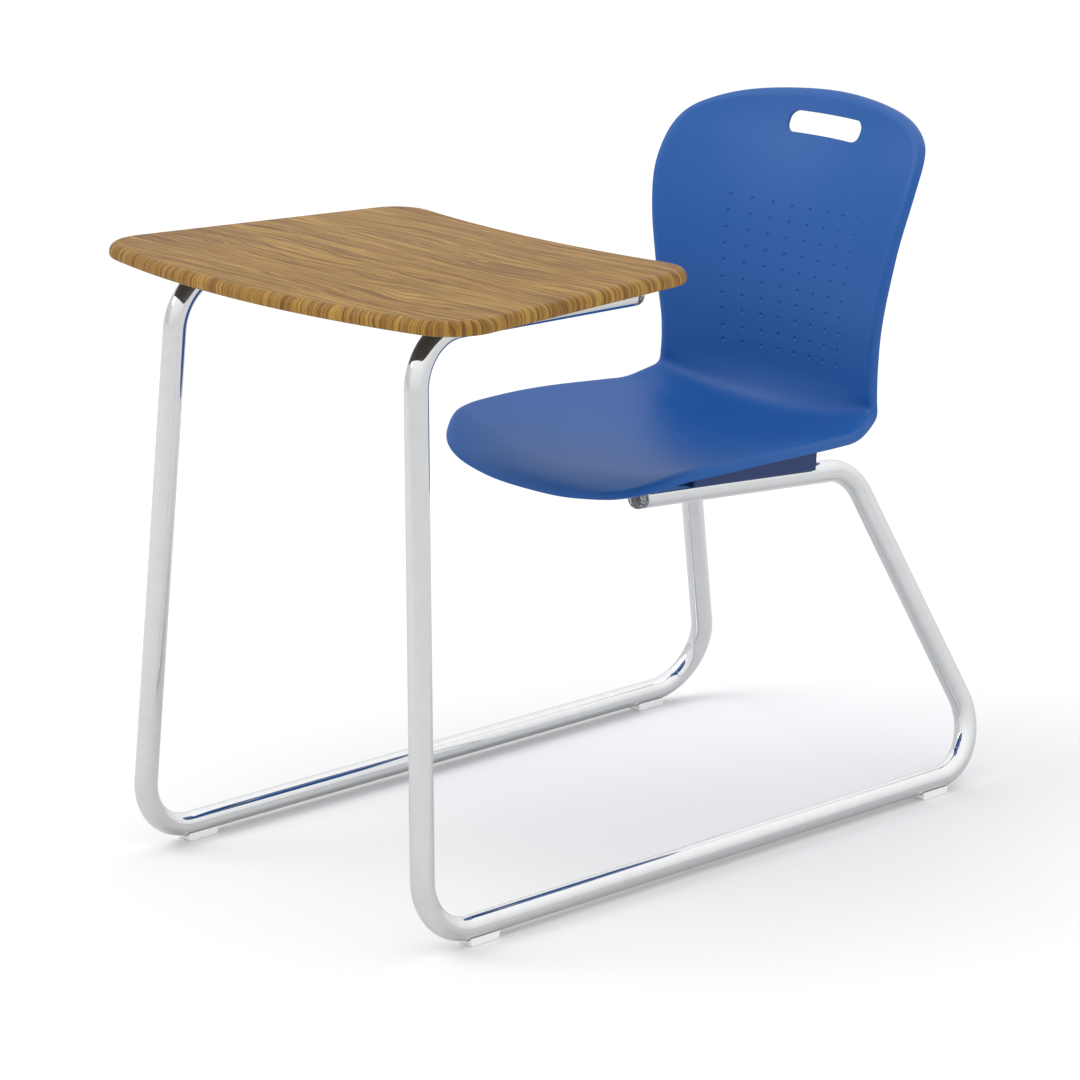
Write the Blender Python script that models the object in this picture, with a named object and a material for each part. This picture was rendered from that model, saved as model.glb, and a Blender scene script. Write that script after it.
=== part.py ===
"""Student combo desk: a moulded seat and a writing top on two bent chrome tubes with a sled base.

Metres, +Z up. The sitter faces -Y, so the writing top is at -Y and the chair back at +Y. The object is the
same left and right: "left" is the sitter's left, at +X. The origin is on the floor, in the middle of the
bounding box.
"""

import math

import bmesh
import bpy
import numpy as np
from mathutils import Vector

# Frame: two tubes, each one continuous bend from the writing top down, along the floor and up to the seat.
TUBE_DIAMETER = 0.028575
TUBE_RADIUS = TUBE_DIAMETER / 2
TUBE_WALL = 0.0021
GLIDE_HEIGHT = 0.006
RUNNER_Z = TUBE_RADIUS + GLIDE_HEIGHT
RUNNER_X = 0.2576
RUNNER_FRONT_Y = -0.4580
RUNNER_REAR_Y = 0.5230
DESK_TUBE_X = 0.2111
DESK_TUBE_FRONT_Y = -0.4216
DESK_TUBE_FRONT_Z = 0.7264
DESK_TUBE_END_Y = -0.0840
DESK_SLOPE = -0.01994  # rise per metre towards +Y
SEAT_TUBE_X = 0.1447
SEAT_TUBE_REAR_Y = 0.3682
SEAT_TUBE_REAR_Z = 0.4157
SEAT_TUBE_END_Y = 0.0025
SEAT_SLOPE = -0.0803
BEND_RADII = (0.069, 0.069, 0.069, 0.060)  # desk, runner front, runner rear, seat
TUBE_SIDES = 14
ARC_STEP = math.radians(14)
GAP = 0.0003  # between pieces that touch
OVERRUN = 0.001  # how far a cutter starts before the face that it enters
FASTENER_SIDES = 10
SMOOTH_ANGLE = math.radians(40)
SIDES = ((1, "left"), (-1, "right"))

# Caps in the four tube ends.
CAP_SHANK = 0.016
CAP_HEAD = 0.0145

# Round crossbars that hold the two tubes apart, out of sight under the writing top and the seat.
CROSSBAR_RADIUS = 0.008
CROSSBAR_WALL = 0.0015
CROSSBAR_SIDES = 12
DESK_CROSSBAR_FRONT_Y = -0.355
DESK_CROSSBAR_REAR_Y = -0.155
SEAT_CROSSBAR_FRONT_Y = 0.050
SEAT_CROSSBAR_REAR_Y = 0.312

# Feet under the runners.
GLIDE_LENGTH = 0.045
GLIDE_HALF_WIDTH = 0.0125
GLIDE_SIDE_TOP = 0.0105
GLIDE_BEVEL = 0.003
GLIDE_SHOULDER = 0.002  # height of the slanted edge along the sole
GLIDE_FRONT_Y = -0.371
GLIDE_REAR_Y = 0.407
RIVET_HEAD = 0.0040
RIVET_SHANK = 0.0020
RIVET_RECESS = 0.0024
RIVET_HEAD_THICKNESS = 0.0013

# Tabs and screws under the writing top.
PLATE_THICKNESS = 0.003
PLATE_LENGTH = 0.060
PLATE_WIDTH = 0.032
PLATE_FRONT_Y = -0.310
PLATE_REAR_Y = -0.205
PLATE_SCREW_SPREAD = 0.018
PLATE_SCREW_INSET = 0.026
PLATE_CORNER = 0.006
DESK_SCREW = (0.0042, 0.0021)  # radii of the head and of the shank
DESK_SCREW_HOLE = 0.0024
DESK_SCREW_LENGTH = 0.016

# Writing top: a plan with bowed front and rear edges, tapering to the rear, with a bullnose edge all round.
TOP_THICKNESS = 0.0170
TOP_FRONT_Y = -0.5063
TOP_FRONT_BOW = 0.46
TOP_REAR_Y = -0.0372
TOP_REAR_BOW = 0.43
TOP_FRONT_HALF = 0.3290  # half widths of the side lines at the two y values below
TOP_FRONT_HALF_Y = -0.4875
TOP_REAR_HALF = 0.2640
TOP_REAR_HALF_Y = -0.0325
TOP_FRONT_RADIUS = 0.064
TOP_REAR_RADIUS = 0.0515
TOP_UPPER_ROUND = 0.0100
TOP_LOWER_ROUND = 0.0045
TOP_CORNER_STEPS = 8
TOP_BOW_STEPS = 6
TOP_UPPER_STEPS = 4
TOP_LOWER_STEPS = 2

# Seat shell: a spine from the front lip over the seat and up the back, and half widths along it.
SHELL_THICKNESS = 0.0050
RIM_RADIUS = 0.0125
RIM_DROP = 0.0035
SPINE = (  # (y, z) of the upper surface on the centre line
    (-0.0570, 0.4378), (-0.0410, 0.4525), (-0.0100, 0.4610), (0.0400, 0.4614), (0.1200, 0.4612),
    (0.2000, 0.4598), (0.2800, 0.4583), (0.3350, 0.4592), (0.3835, 0.4708), (0.3992, 0.5008),
    (0.4028, 0.5480), (0.4042, 0.5970), (0.4115, 0.6500), (0.4245, 0.7100), (0.4440, 0.7650),
    (0.4710, 0.8200), (0.4870, 0.8645),
)
OUTLINE_FRONT = ((0.0, 0.0), (0.080, 0.0040), (0.140, 0.0178), (0.180, 0.0422))
OUTLINE_SIDE = (  # (half width, length along the spine)
    (0.2088, 0.0765), (0.2210, 0.112), (0.2250, 0.165), (0.2247, 0.235), (0.2170, 0.315),
    (0.2053, 0.390), (0.1937, 0.440), (0.1887, 0.490), (0.1890, 0.540), (0.1980, 0.600),
    (0.2110, 0.665), (0.2200, 0.725), (0.2158, 0.770), (0.2035, 0.7985),
)
OUTLINE_TOP = ((0.184, 0.8195), (0.150, 0.8385), (0.090, 0.8545), (0.0, 0.8632))
SEAT_DISH = 0.64  # rise of the surface over the spine, per square of the distance from it
BACK_DISH = 1.33
TOP_DISH = 1.15
FRONT_FADE = 0.095  # length of the front over which the dish grows from nothing
FOLD_LENGTHS = (0.36, 0.50)  # where the dish changes from the seat's to the back's
TOP_LENGTHS = (0.66, 0.85)  # and from the back's to the top's
END_REACH = 0.004  # half the length of spine over which its direction is taken
FOLD_REACH = 0.048  # longer by the fold, so that the dished sides turn it without a crease
REACH_GROWS = (0.26, 0.37)
REACH_FALLS = (0.54, 0.68)
FRONT_ROLL = 32.0  # degrees that the rim turns at the front lip, which already points down
OUTLINE_STEPS = 10
SHELL_COLUMNS = 12
SHELL_ROWS = 32
RIM_STEPS = 3

# Carrying slot through the back.
SLOT_ALONG = 0.8160
SLOT_HALF_LENGTH = 0.0630
SLOT_HEIGHT = 0.0295
SLOT_CORNER = 0.0125
SLOT_CORNER_STEPS = 4
SLOT_ARCH = 0.6  # drop of the slot towards its ends, per square of the distance from the middle
SLOT_CUT = 0.05  # how far the slot's cutter runs before and behind the back

# Mounts, bosses and screws between the seat tubes and the shell.
MOUNT_FRONT_Y = 0.075
MOUNT_REAR_Y = 0.290
MOUNT_HALF_WIDTH = 0.0165
MOUNT_STEPS = 8
MOUNT_CLEARANCE = 0.0016
SEAT_SCREW_FRONT_Y = 0.130
SEAT_SCREW_REAR_Y = 0.250
SEAT_SCREW = (0.0052, 0.0024)  # radii of the head and of the shank
SEAT_SCREW_HOLE = 0.0030
BOSS_RADIUS = 0.0070
BOSS_BORE = 0.0028
BOSS_STANDOFF = 0.0015
BOSS_ROOT = 0.0025  # how far a boss runs into the shell's wall
BOSS_SIDES = 12


# --- Materials ------------------------------------------------------------------------------------


def material(name, colour, roughness, metallic=0.0, transmission=0.0):
    made = bpy.data.materials.new(name)
    made.use_nodes = True
    made.diffuse_color = (*colour, 1.0)
    shader = made.node_tree.nodes["Principled BSDF"]
    shader.inputs["Base Color"].default_value = (*colour, 1.0)
    shader.inputs["Roughness"].default_value = roughness
    shader.inputs["Metallic"].default_value = metallic
    shader.inputs["Transmission Weight"].default_value = transmission
    return made


# --- Meshes ---------------------------------------------------------------------------------------


def add_object(name, vertices, faces, finish, parent=None):
    """One closed body, its faces turned outwards and its round surfaces shaded smooth."""
    mesh = bpy.data.meshes.new(name)
    mesh.from_pydata([tuple(map(float, vertex)) for vertex in vertices], [], faces)
    shape = bmesh.new()
    shape.from_mesh(mesh)
    bmesh.ops.recalc_face_normals(shape, faces=shape.faces)
    shape.to_mesh(mesh)
    shape.free()
    mesh.shade_smooth()
    mesh.set_sharp_from_angle(angle=SMOOTH_ANGLE)
    mesh.materials.append(finish)
    obj = bpy.data.objects.new(name, mesh)
    bpy.context.scene.collection.objects.link(obj)
    obj.parent = parent
    return obj


def loft_faces(ring_count, ring_size, ring_of_rings=False):
    """Faces between rings of points, with a flat face on the first and last, or joined round into a loop."""
    faces = []
    for ring in range(ring_count if ring_of_rings else ring_count - 1):
        for point in range(ring_size):
            here, beside = ring * ring_size, (ring + 1) % ring_count * ring_size
            after = (point + 1) % ring_size
            faces.append((here + point, here + after, beside + after, beside + point))
    if not ring_of_rings:
        last = (ring_count - 1) * ring_size
        faces.append(tuple(range(ring_size)))
        faces.append(tuple(range(last, last + ring_size)))
    return faces


def loft(name, rings, finish, parent=None, ring_of_rings=False):
    vertices = [point for ring in rings for point in ring]
    return add_object(name, vertices, loft_faces(len(rings), len(rings[0]), ring_of_rings), finish, parent)


def turned_mesh(profile, sides, hollow=False):
    """Vertices and faces of a (radius, height) profile turned about Z. A hollow profile is a closed loop."""
    turns = [2 * math.pi * side / sides for side in range(sides)]
    vertices = [(r * math.cos(turn), r * math.sin(turn), h) for r, h in profile for turn in turns]
    return vertices, loft_faces(len(profile), sides, ring_of_rings=hollow)


def turned(name, profile, sides, finish, place, axis, parent=None, hollow=False):
    """A turned body whose profile's height runs along the axis from the place."""
    vertices, faces = turned_mesh(profile, sides, hollow)
    obj = add_object(name, vertices, faces, finish, parent)
    obj.location = place
    obj.rotation_euler = Vector(axis).to_track_quat("Z", "Y").to_euler()
    return obj


def cutter(name, obj, targets, operation="DIFFERENCE"):
    """Hides a helper body, and cuts it from the targets or joins it to them."""
    obj.name = name
    obj.hide_render = True
    obj.display_type = "WIRE"
    for target in targets:
        boolean = target.modifiers.new(name, "BOOLEAN")
        boolean.operation = operation
        boolean.object = obj


def drill(name, places, radius, depth, targets, finish, parent=None, axis=(0.0, 0.0, 1.0), sides=12):
    """Cuts a straight hole at each place, running the depth along the axis."""
    for number, place in enumerate(places):
        hole = turned(name, ((radius, 0.0), (radius, depth)), sides, finish, place, axis, parent)
        cutter(f"{name}_{number}", hole, targets)


def sloped_plane(name, place, slope):
    """An empty whose local Y runs along a tube that rises by the slope per metre towards +Y."""
    plane = bpy.data.objects.new(name, None)
    bpy.context.scene.collection.objects.link(plane)
    plane.location = place
    plane.rotation_euler = (math.atan(slope), 0.0, 0.0)
    return plane


# --- Curves ---------------------------------------------------------------------------------------


def smooth_curve(points, steps):
    """A centripetal Catmull-Rom curve through the points, with the given steps between each two."""
    points = np.array(points, float)
    padded = np.vstack([2 * points[0] - points[1], points, 2 * points[-1] - points[-2]])
    curve = []
    for before, start, end, after in zip(padded, padded[1:], padded[2:], padded[3:]):
        first, middle, last = (
            math.sqrt(np.linalg.norm(b - a)) for a, b in ((before, start), (start, end), (end, after))
        )
        step = end - start
        leaving = step + middle * ((start - before) / first - (end - before) / (first + middle))
        arriving = step + middle * ((after - end) / last - (after - start) / (middle + last))
        for t in np.linspace(0.0, 1.0, steps, endpoint=False):
            curve.append(
                (2 * t**3 - 3 * t**2 + 1) * start
                + (t**3 - 2 * t**2 + t) * leaving
                + (3 * t**2 - 2 * t**3) * end
                + (t**3 - t**2) * arriving
            )
    return np.array(curve + [points[-1]])


def lengths_along(points):
    return np.concatenate([[0.0], np.cumsum(np.linalg.norm(np.diff(points, axis=0), axis=1))])


def evenly(points, count):
    """The curve's points read again at even spacing, as count steps."""
    along = lengths_along(points)
    wanted = np.linspace(0.0, along[-1], count + 1)
    return np.stack([np.interp(wanted, along, axis) for axis in points.T], axis=1)


def ease(value, low, high):
    t = np.clip((value - low) / (high - low), 0.0, 1.0)
    return t * t * (3 - 2 * t)


def bent_path(corners, radii):
    """A line through the corners, with each inner corner rounded by an arc of its radius."""
    corners = [Vector(corner) for corner in corners]
    path = [corners[0]]
    for before, corner, after, radius in zip(corners, corners[1:], corners[2:], radii):
        back, ahead = (before - corner).normalized(), (after - corner).normalized()
        inside = back.angle(ahead)
        start = corner + back * radius / math.tan(inside / 2)
        centre = corner + (back + ahead).normalized() * radius / math.sin(inside / 2)
        turn = math.pi - inside
        spoke = (start - centre).normalized()
        tangent = -back
        steps = math.ceil(turn / ARC_STEP)
        for step in range(steps + 1):
            angle = turn * step / steps
            path.append(centre + radius * (spoke * math.cos(angle) + tangent * math.sin(angle)))
    path.append(corners[-1])
    return path


def ring_frames(path):
    """For each point of a path, its two side directions, carried along without twist."""
    tangents = []
    for number in range(len(path)):
        before, after = path[max(number - 1, 0)], path[min(number + 1, len(path) - 1)]
        tangents.append((after - before).normalized())
    across = Vector((1.0, 0.0, 0.0))
    frames = []
    for tangent in tangents:
        across = (across - across.dot(tangent) * tangent).normalized()
        frames.append((across, tangent.cross(across)))
    return frames


# --- Frame ----------------------------------------------------------------------------------------


def desk_tube_z(y):
    return DESK_TUBE_FRONT_Z + DESK_SLOPE * (y - DESK_TUBE_FRONT_Y)


def seat_tube_z(y):
    return SEAT_TUBE_REAR_Z + SEAT_SLOPE * (y - SEAT_TUBE_REAR_Y)


def tube_corners(side):
    return (
        (side * DESK_TUBE_X, DESK_TUBE_END_Y, desk_tube_z(DESK_TUBE_END_Y)),
        (side * DESK_TUBE_X, DESK_TUBE_FRONT_Y, DESK_TUBE_FRONT_Z),
        (side * RUNNER_X, RUNNER_FRONT_Y, RUNNER_Z),
        (side * RUNNER_X, RUNNER_REAR_Y, RUNNER_Z),
        (side * SEAT_TUBE_X, SEAT_TUBE_REAR_Y, SEAT_TUBE_REAR_Z),
        (side * SEAT_TUBE_X, SEAT_TUBE_END_Y, seat_tube_z(SEAT_TUBE_END_Y)),
    )


def frame_tube(name, side, finish):
    """One open-ended tube: the outer skin one way along the path and the bore back again."""
    path = bent_path(tube_corners(side), BEND_RADII)
    frames = ring_frames(path)
    turns = [2 * math.pi * step / TUBE_SIDES for step in range(TUBE_SIDES)]

    def skin(radius):
        return [
            [point + radius * (math.cos(turn) * across + math.sin(turn) * up) for turn in turns]
            for point, (across, up) in zip(path, frames)
        ]

    return loft(name, skin(TUBE_RADIUS) + skin(TUBE_RADIUS - TUBE_WALL)[::-1], finish, ring_of_rings=True)


def tube_cap(name, place, axis, finish):
    """A clear plug: its shank sits in the bore and its domed head covers the tube's end."""
    shank = TUBE_RADIUS - TUBE_WALL - GAP
    profile = (
        (shank - 0.001, -CAP_SHANK),
        (shank, -CAP_SHANK + 0.002),
        (shank, GAP),
        (TUBE_RADIUS, GAP),
        (TUBE_RADIUS, CAP_HEAD * 0.55),
        (TUBE_RADIUS * 0.93, CAP_HEAD * 0.80),
        (TUBE_RADIUS * 0.72, CAP_HEAD * 0.95),
        (TUBE_RADIUS * 0.40, CAP_HEAD),
    )
    return turned(name, profile, TUBE_SIDES, finish, place, axis)


def crossbar(name, y, half_length, parent, finish):
    """A straight round tube welded between the two frame tubes, at the height of their axes."""
    half = half_length - TUBE_RADIUS - GAP
    outer, inner = CROSSBAR_RADIUS, CROSSBAR_RADIUS - CROSSBAR_WALL
    profile = ((outer, -half), (outer, half), (inner, half), (inner, -half))
    return turned(name, profile, CROSSBAR_SIDES, finish, (0.0, y, 0.0), (1.0, 0.0, 0.0), parent, hollow=True)


def runner_glide(name, side, y, finish):
    """A plastic foot under the runner: a flat sole, bevelled ends and a groove that hugs the tube."""
    groove = TUBE_RADIUS + 2 * GAP
    side_z = GLIDE_SIDE_TOP - RUNNER_Z
    lip = math.acos(side_z / -groove)
    arc = [math.radians(-90) + lip * (step / 4 - 1) for step in range(9)]
    half_length = GLIDE_LENGTH / 2
    rings = []
    flat_length = half_length - GLIDE_BEVEL
    for offset, cut in ((-half_length, 1), (-flat_length, 0), (flat_length, 0), (half_length, 1)):
        wide, low = GLIDE_HALF_WIDTH - cut * GLIDE_BEVEL / 3, -RUNNER_Z + cut * GLIDE_BEVEL
        toe, shoulder = wide - GLIDE_BEVEL / 2, low + GLIDE_SHOULDER
        outer = [(wide, side_z), (wide, shoulder), (toe, low)]
        outer += [(-x, z) for x, z in reversed(outer)]
        inner = [(groove * math.cos(angle), groove * math.sin(angle)) for angle in arc]
        rings.append([(x, offset, z) for x, z in outer + inner])
    glide = loft(name, rings, finish)
    glide.location = (side * RUNNER_X, y, RUNNER_Z)
    return glide


def glide_rivet(name, side, y, finish):
    """A blind rivet: its head is sunk in the sole and its bulb grips inside the runner."""
    bulb = GLIDE_HEIGHT + TUBE_WALL + 3 * GAP
    profile = (
        (RIVET_HEAD, RIVET_RECESS - GAP - RIVET_HEAD_THICKNESS),
        (RIVET_HEAD, RIVET_RECESS - GAP),
        (RIVET_SHANK, RIVET_RECESS - GAP),
        (RIVET_SHANK, bulb),
        (RIVET_SHANK * 1.5, bulb + 0.0005),
        (RIVET_SHANK * 1.4, bulb + 0.0025),
        (RIVET_SHANK * 0.6, bulb + 0.0035),
    )
    return turned(name, profile, FASTENER_SIDES, finish, (side * RUNNER_X, y, 0.0), (0.0, 0.0, 1.0))


def glides_and_rivets(tube, side, side_name, glide_finish, rivet_finish):
    for end_name, y in (("front", GLIDE_FRONT_Y), ("rear", GLIDE_REAR_Y)):
        glide = runner_glide(f"runner_glide_{side_name}_{end_name}", side, y, glide_finish)
        glide_rivet(f"glide_rivet_{side_name}_{end_name}", side, y, rivet_finish)
        place = (side * RUNNER_X, y, -OVERRUN)
        hole = f"rivet_hole_{side_name}_{end_name}"
        drill(hole, [place], RIVET_SHANK + GAP, RUNNER_Z - TUBE_RADIUS / 2, [tube, glide], rivet_finish)
        drill(hole + "_recess", [place], RIVET_HEAD + GAP, RIVET_RECESS + OVERRUN, [glide], rivet_finish)


# --- Writing top ----------------------------------------------------------------------------------


def top_side_x(y):
    share = (y - TOP_FRONT_HALF_Y) / (TOP_REAR_HALF_Y - TOP_FRONT_HALF_Y)
    return TOP_FRONT_HALF + share * (TOP_REAR_HALF - TOP_FRONT_HALF)


def top_corner(end_y, bow):
    """Where the side line meets a bowed end."""
    y = end_y
    for _ in range(20):
        y = end_y + bow * top_side_x(y) ** 2
    return np.array([top_side_x(y), y])


def rounded_corner(before, corner, after, radius, steps):
    """Points of an arc tangent to the two lines that meet at a corner."""
    path = bent_path([(*before, 0.0), (*corner, 0.0), (*after, 0.0)], [radius])[1:-1]
    return evenly(np.array([point[:2] for point in path]), steps)


def top_outline():
    """The right half of the plan from the middle of the front to the middle of the rear, then its mirror."""
    front, rear = top_corner(TOP_FRONT_Y, TOP_FRONT_BOW), top_corner(TOP_REAR_Y, TOP_REAR_BOW)

    def bowed(x, end_y, bow):
        return np.array([x, end_y + bow * x * x])

    near_front = bowed(front[0] - TOP_FRONT_RADIUS, TOP_FRONT_Y, TOP_FRONT_BOW)
    near_rear = bowed(rear[0] - TOP_REAR_RADIUS, TOP_REAR_Y, TOP_REAR_BOW)
    front_arc = rounded_corner(near_front, front, rear, TOP_FRONT_RADIUS, TOP_CORNER_STEPS)
    rear_arc = rounded_corner(front, rear, near_rear, TOP_REAR_RADIUS, TOP_CORNER_STEPS)
    shares = np.arange(TOP_BOW_STEPS) / TOP_BOW_STEPS
    half = [bowed(front_arc[0][0] * share, TOP_FRONT_Y, TOP_FRONT_BOW) for share in shares]
    half += list(front_arc) + list(rear_arc)
    half += [bowed(rear_arc[-1][0] * (1 - share), TOP_REAR_Y, TOP_REAR_BOW) for share in shares[1:]]
    half.append(bowed(0.0, TOP_REAR_Y, TOP_REAR_BOW))
    half = np.array(half)
    return np.vstack([half, half[-2:0:-1] * (-1.0, 1.0)])


def inset(outline, distance):
    """The outline moved inwards along its own normals."""
    along = np.roll(outline, -1, axis=0) - np.roll(outline, 1, axis=0)
    along /= np.linalg.norm(along, axis=1)[:, None]
    return outline + distance * np.stack([-along[:, 1], along[:, 0]], axis=1)


def desktop(parent, finish):
    """A slab with a rounded edge, on a plane along the desk tubes. Local Z is 0 at the tubes' axes."""
    outline = top_outline() - (0.0, DESK_TUBE_FRONT_Y)
    base = TUBE_RADIUS + GAP
    edge = []
    for radius, height, steps, upper in (
        (TOP_LOWER_ROUND, TOP_LOWER_ROUND, TOP_LOWER_STEPS, False),
        (TOP_UPPER_ROUND, TOP_THICKNESS - TOP_UPPER_ROUND, TOP_UPPER_STEPS, True),
    ):
        for step in range(steps + 1):
            angle = math.pi / 2 * (step / steps - (0 if upper else 1))
            edge.append((radius * (1 - math.cos(angle)), height + radius * math.sin(angle)))
    rings = [[(x, y, base + z) for x, y in inset(outline, distance)] for distance, z in edge]
    return loft("desktop", rings, finish, parent)


def desk_plate(name, side, local_y, parent, finish):
    """A steel tab welded to the inner side of the desk tube, flat against the writing top."""
    drop = PLATE_THICKNESS + GAP
    outer = DESK_TUBE_X - math.sqrt(TUBE_RADIUS**2 - (TUBE_RADIUS - drop) ** 2) - GAP
    inner, half = outer - PLATE_WIDTH, PLATE_LENGTH / 2
    corners = [(outer, half), (inner + PLATE_CORNER, half), (inner, half - PLATE_CORNER)]
    corners += [(x, -y) for x, y in reversed(corners)]
    rings = [[(side * x, y, z) for x, y in corners] for z in (TUBE_RADIUS - PLATE_THICKNESS, TUBE_RADIUS)]
    plate = loft(name, rings, finish, parent)
    plate.location = (0.0, local_y, 0.0)
    return plate


def pan_screw(name, place, radii, length, parent, finish):
    """A pan-head screw driven along +Z, with its head's bearing face at the place."""
    head, shank = radii
    profile = (
        (head * 0.55, -head * 0.62),
        (head * 0.88, -head * 0.42),
        (head, 0.0),
        (shank, 0.0),
        (shank, length - shank),
        (shank * 0.4, length),
    )
    return turned(name, profile, FASTENER_SIDES, finish, place, (0.0, 0.0, 1.0), parent)


def desk_fastening(parent, top, plate_finish, screw_finish):
    """Four welded tabs, each with two screws up into blind holes in the writing top."""
    under_plate = TUBE_RADIUS - PLATE_THICKNESS
    for side, side_name in SIDES:
        for end_name, y in (("front", PLATE_FRONT_Y), ("rear", PLATE_REAR_Y)):
            where = f"{side_name}_{end_name}"
            local_y = y - DESK_TUBE_FRONT_Y
            plate = desk_plate(f"desk_plate_{where}", side, local_y, parent, plate_finish)
            places = []
            for number, offset in enumerate((-PLATE_SCREW_SPREAD, PLATE_SCREW_SPREAD)):
                x = side * (DESK_TUBE_X - PLATE_SCREW_INSET)
                places.append((x, local_y + offset, under_plate - OVERRUN))
                head_face = (x, local_y + offset, under_plate - GAP)
                name = f"desk_screw_{where}_{number + 1}"
                pan_screw(name, head_face, DESK_SCREW, DESK_SCREW_LENGTH, parent, screw_finish)
            hole, depth = f"desk_screw_hole_{where}", DESK_SCREW_LENGTH + 2 * OVERRUN
            drill(hole, places, DESK_SCREW_HOLE, depth, [plate, top], screw_finish, parent)


# --- Seat shell -----------------------------------------------------------------------------------


class Shell:
    """The seat shell's surface, read at a distance across and a length along the spine."""

    def __init__(self):
        self.spine = smooth_curve(SPINE, 12)
        self.lengths = lengths_along(self.spine)

    def spine_at(self, along):
        """The spine's point and its direction. Past either end the spine runs on straight."""
        y, z = (np.interp(along, self.lengths, axis) for axis in self.spine.T)
        reach = END_REACH + (FOLD_REACH - END_REACH) * (ease(along, *REACH_GROWS) - ease(along, *REACH_FALLS))
        ahead = [np.interp(along + reach, self.lengths, axis) for axis in self.spine.T]
        behind = [np.interp(along - reach, self.lengths, axis) for axis in self.spine.T]
        direction = np.array(ahead) - np.array(behind)
        direction = direction / np.linalg.norm(direction, axis=0)
        beyond = along - np.clip(along, 0.0, self.lengths[-1])
        return y + beyond * direction[0], z + beyond * direction[1], direction

    def point(self, across, along, depth=0.0):
        """A point this deep under the sitter's surface."""
        y, z, direction = self.spine_at(along)
        share = ease(along, *FOLD_LENGTHS)
        top_share = ease(along, *TOP_LENGTHS)
        dish = SEAT_DISH + (BACK_DISH - SEAT_DISH) * share + (TOP_DISH - BACK_DISH) * top_share
        dish = dish * ease(along, 0.0, FRONT_FADE)
        rise = dish * across**2 - depth
        return np.stack([across, y - direction[1] * rise, z + direction[0] * rise], axis=-1)

    def underside_z(self, x, y, depth):
        """Height of the underside over a point of the floor, under the seat."""
        along = np.linspace(0.02, FOLD_LENGTHS[0], 80)
        points = self.point(np.full_like(along, x), along, depth)
        return float(np.interp(y, points[:, 1], points[:, 2]))


def shell_outline():
    """The outer edge as (across, along): front, right side, top and left side, each as even steps."""
    half = OUTLINE_FRONT + OUTLINE_SIDE + OUTLINE_TOP
    mirrored = tuple((-x, along) for x, along in half[-2:0:-1])
    closed = half + mirrored
    looped = closed[-2:] + closed + closed[:3]
    curve = smooth_curve(looped, OUTLINE_STEPS)[2 * OUTLINE_STEPS : -2 * OUTLINE_STEPS]
    start = len(OUTLINE_FRONT) * OUTLINE_STEPS
    end = start + (len(OUTLINE_SIDE) - 1) * OUTLINE_STEPS
    total = len(closed) * OUTLINE_STEPS
    right = evenly(curve[start : end + 1], SHELL_ROWS)
    top = evenly(curve[end : total - end + 1], SHELL_COLUMNS)
    left = right[::-1] * (-1.0, 1.0)
    front = evenly(np.vstack([curve[total - start : total], curve[: start + 1]]), SHELL_COLUMNS)
    return np.vstack([front[:-1], right[:-1], top[:-1], left[:-1]])


def outward(loop):
    along = np.roll(loop, -1, axis=0) - np.roll(loop, 1, axis=0)
    along /= np.linalg.norm(along, axis=1)[:, None]
    return np.stack([along[:, 1], -along[:, 0]], axis=1)


def filled_grid(loop):
    """A Coons patch: rows of (across, along) that fill the loop, which starts at the front left corner."""
    columns, rows = SHELL_COLUMNS, SHELL_ROWS
    front = loop[: columns + 1]
    right = loop[columns : columns + rows + 1]
    top = loop[columns + rows : 2 * columns + rows + 1][::-1]
    left = np.vstack([loop[2 * columns + rows :], loop[:1]])[::-1]
    grid = np.empty((rows + 1, columns + 1, 2))
    for row in range(rows + 1):
        for column in range(columns + 1):
            v, u = row / rows, column / columns
            edges = (1 - v) * front[column] + v * top[column] + (1 - u) * left[row] + u * right[row]
            ends = (1 - v) * ((1 - u) * front[0] + u * front[-1]) + v * ((1 - u) * top[0] + u * top[-1])
            grid[row, column] = edges - ends
    return grid


def rim_rings(shell, base, normals, radius, centre_depth, steps):
    """Rings that roll the surface over its rim, about a centre line below it, and then run straight down."""
    full = math.radians(90)
    turn = math.radians(FRONT_ROLL) + (full - math.radians(FRONT_ROLL)) * ease(base[:, 1], 0.02, 0.10)
    rings = []
    for step in range(1, steps + 1):
        angle = turn * step / steps
        flat = base + normals * (radius * np.sin(angle))[:, None]
        rings.append(shell.point(flat[:, 0], flat[:, 1], centre_depth - radius * np.cos(angle)))
    flat = base + normals * (radius * np.sin(turn) + RIM_DROP * np.cos(turn))[:, None]
    depth = centre_depth - radius * np.cos(turn) + RIM_DROP * np.sin(turn)
    rings.append(shell.point(flat[:, 0], flat[:, 1], depth))
    return rings


def grid_loop_indices():
    """Vertex numbers of the grid's edge, in the outline's order."""
    columns, rows, width = SHELL_COLUMNS, SHELL_ROWS, SHELL_COLUMNS + 1
    loop = [column for column in range(columns)]
    loop += [row * width + columns for row in range(rows)]
    loop += [rows * width + column for column in range(columns, 0, -1)]
    loop += [row * width for row in range(rows, 0, -1)]
    return loop


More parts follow.
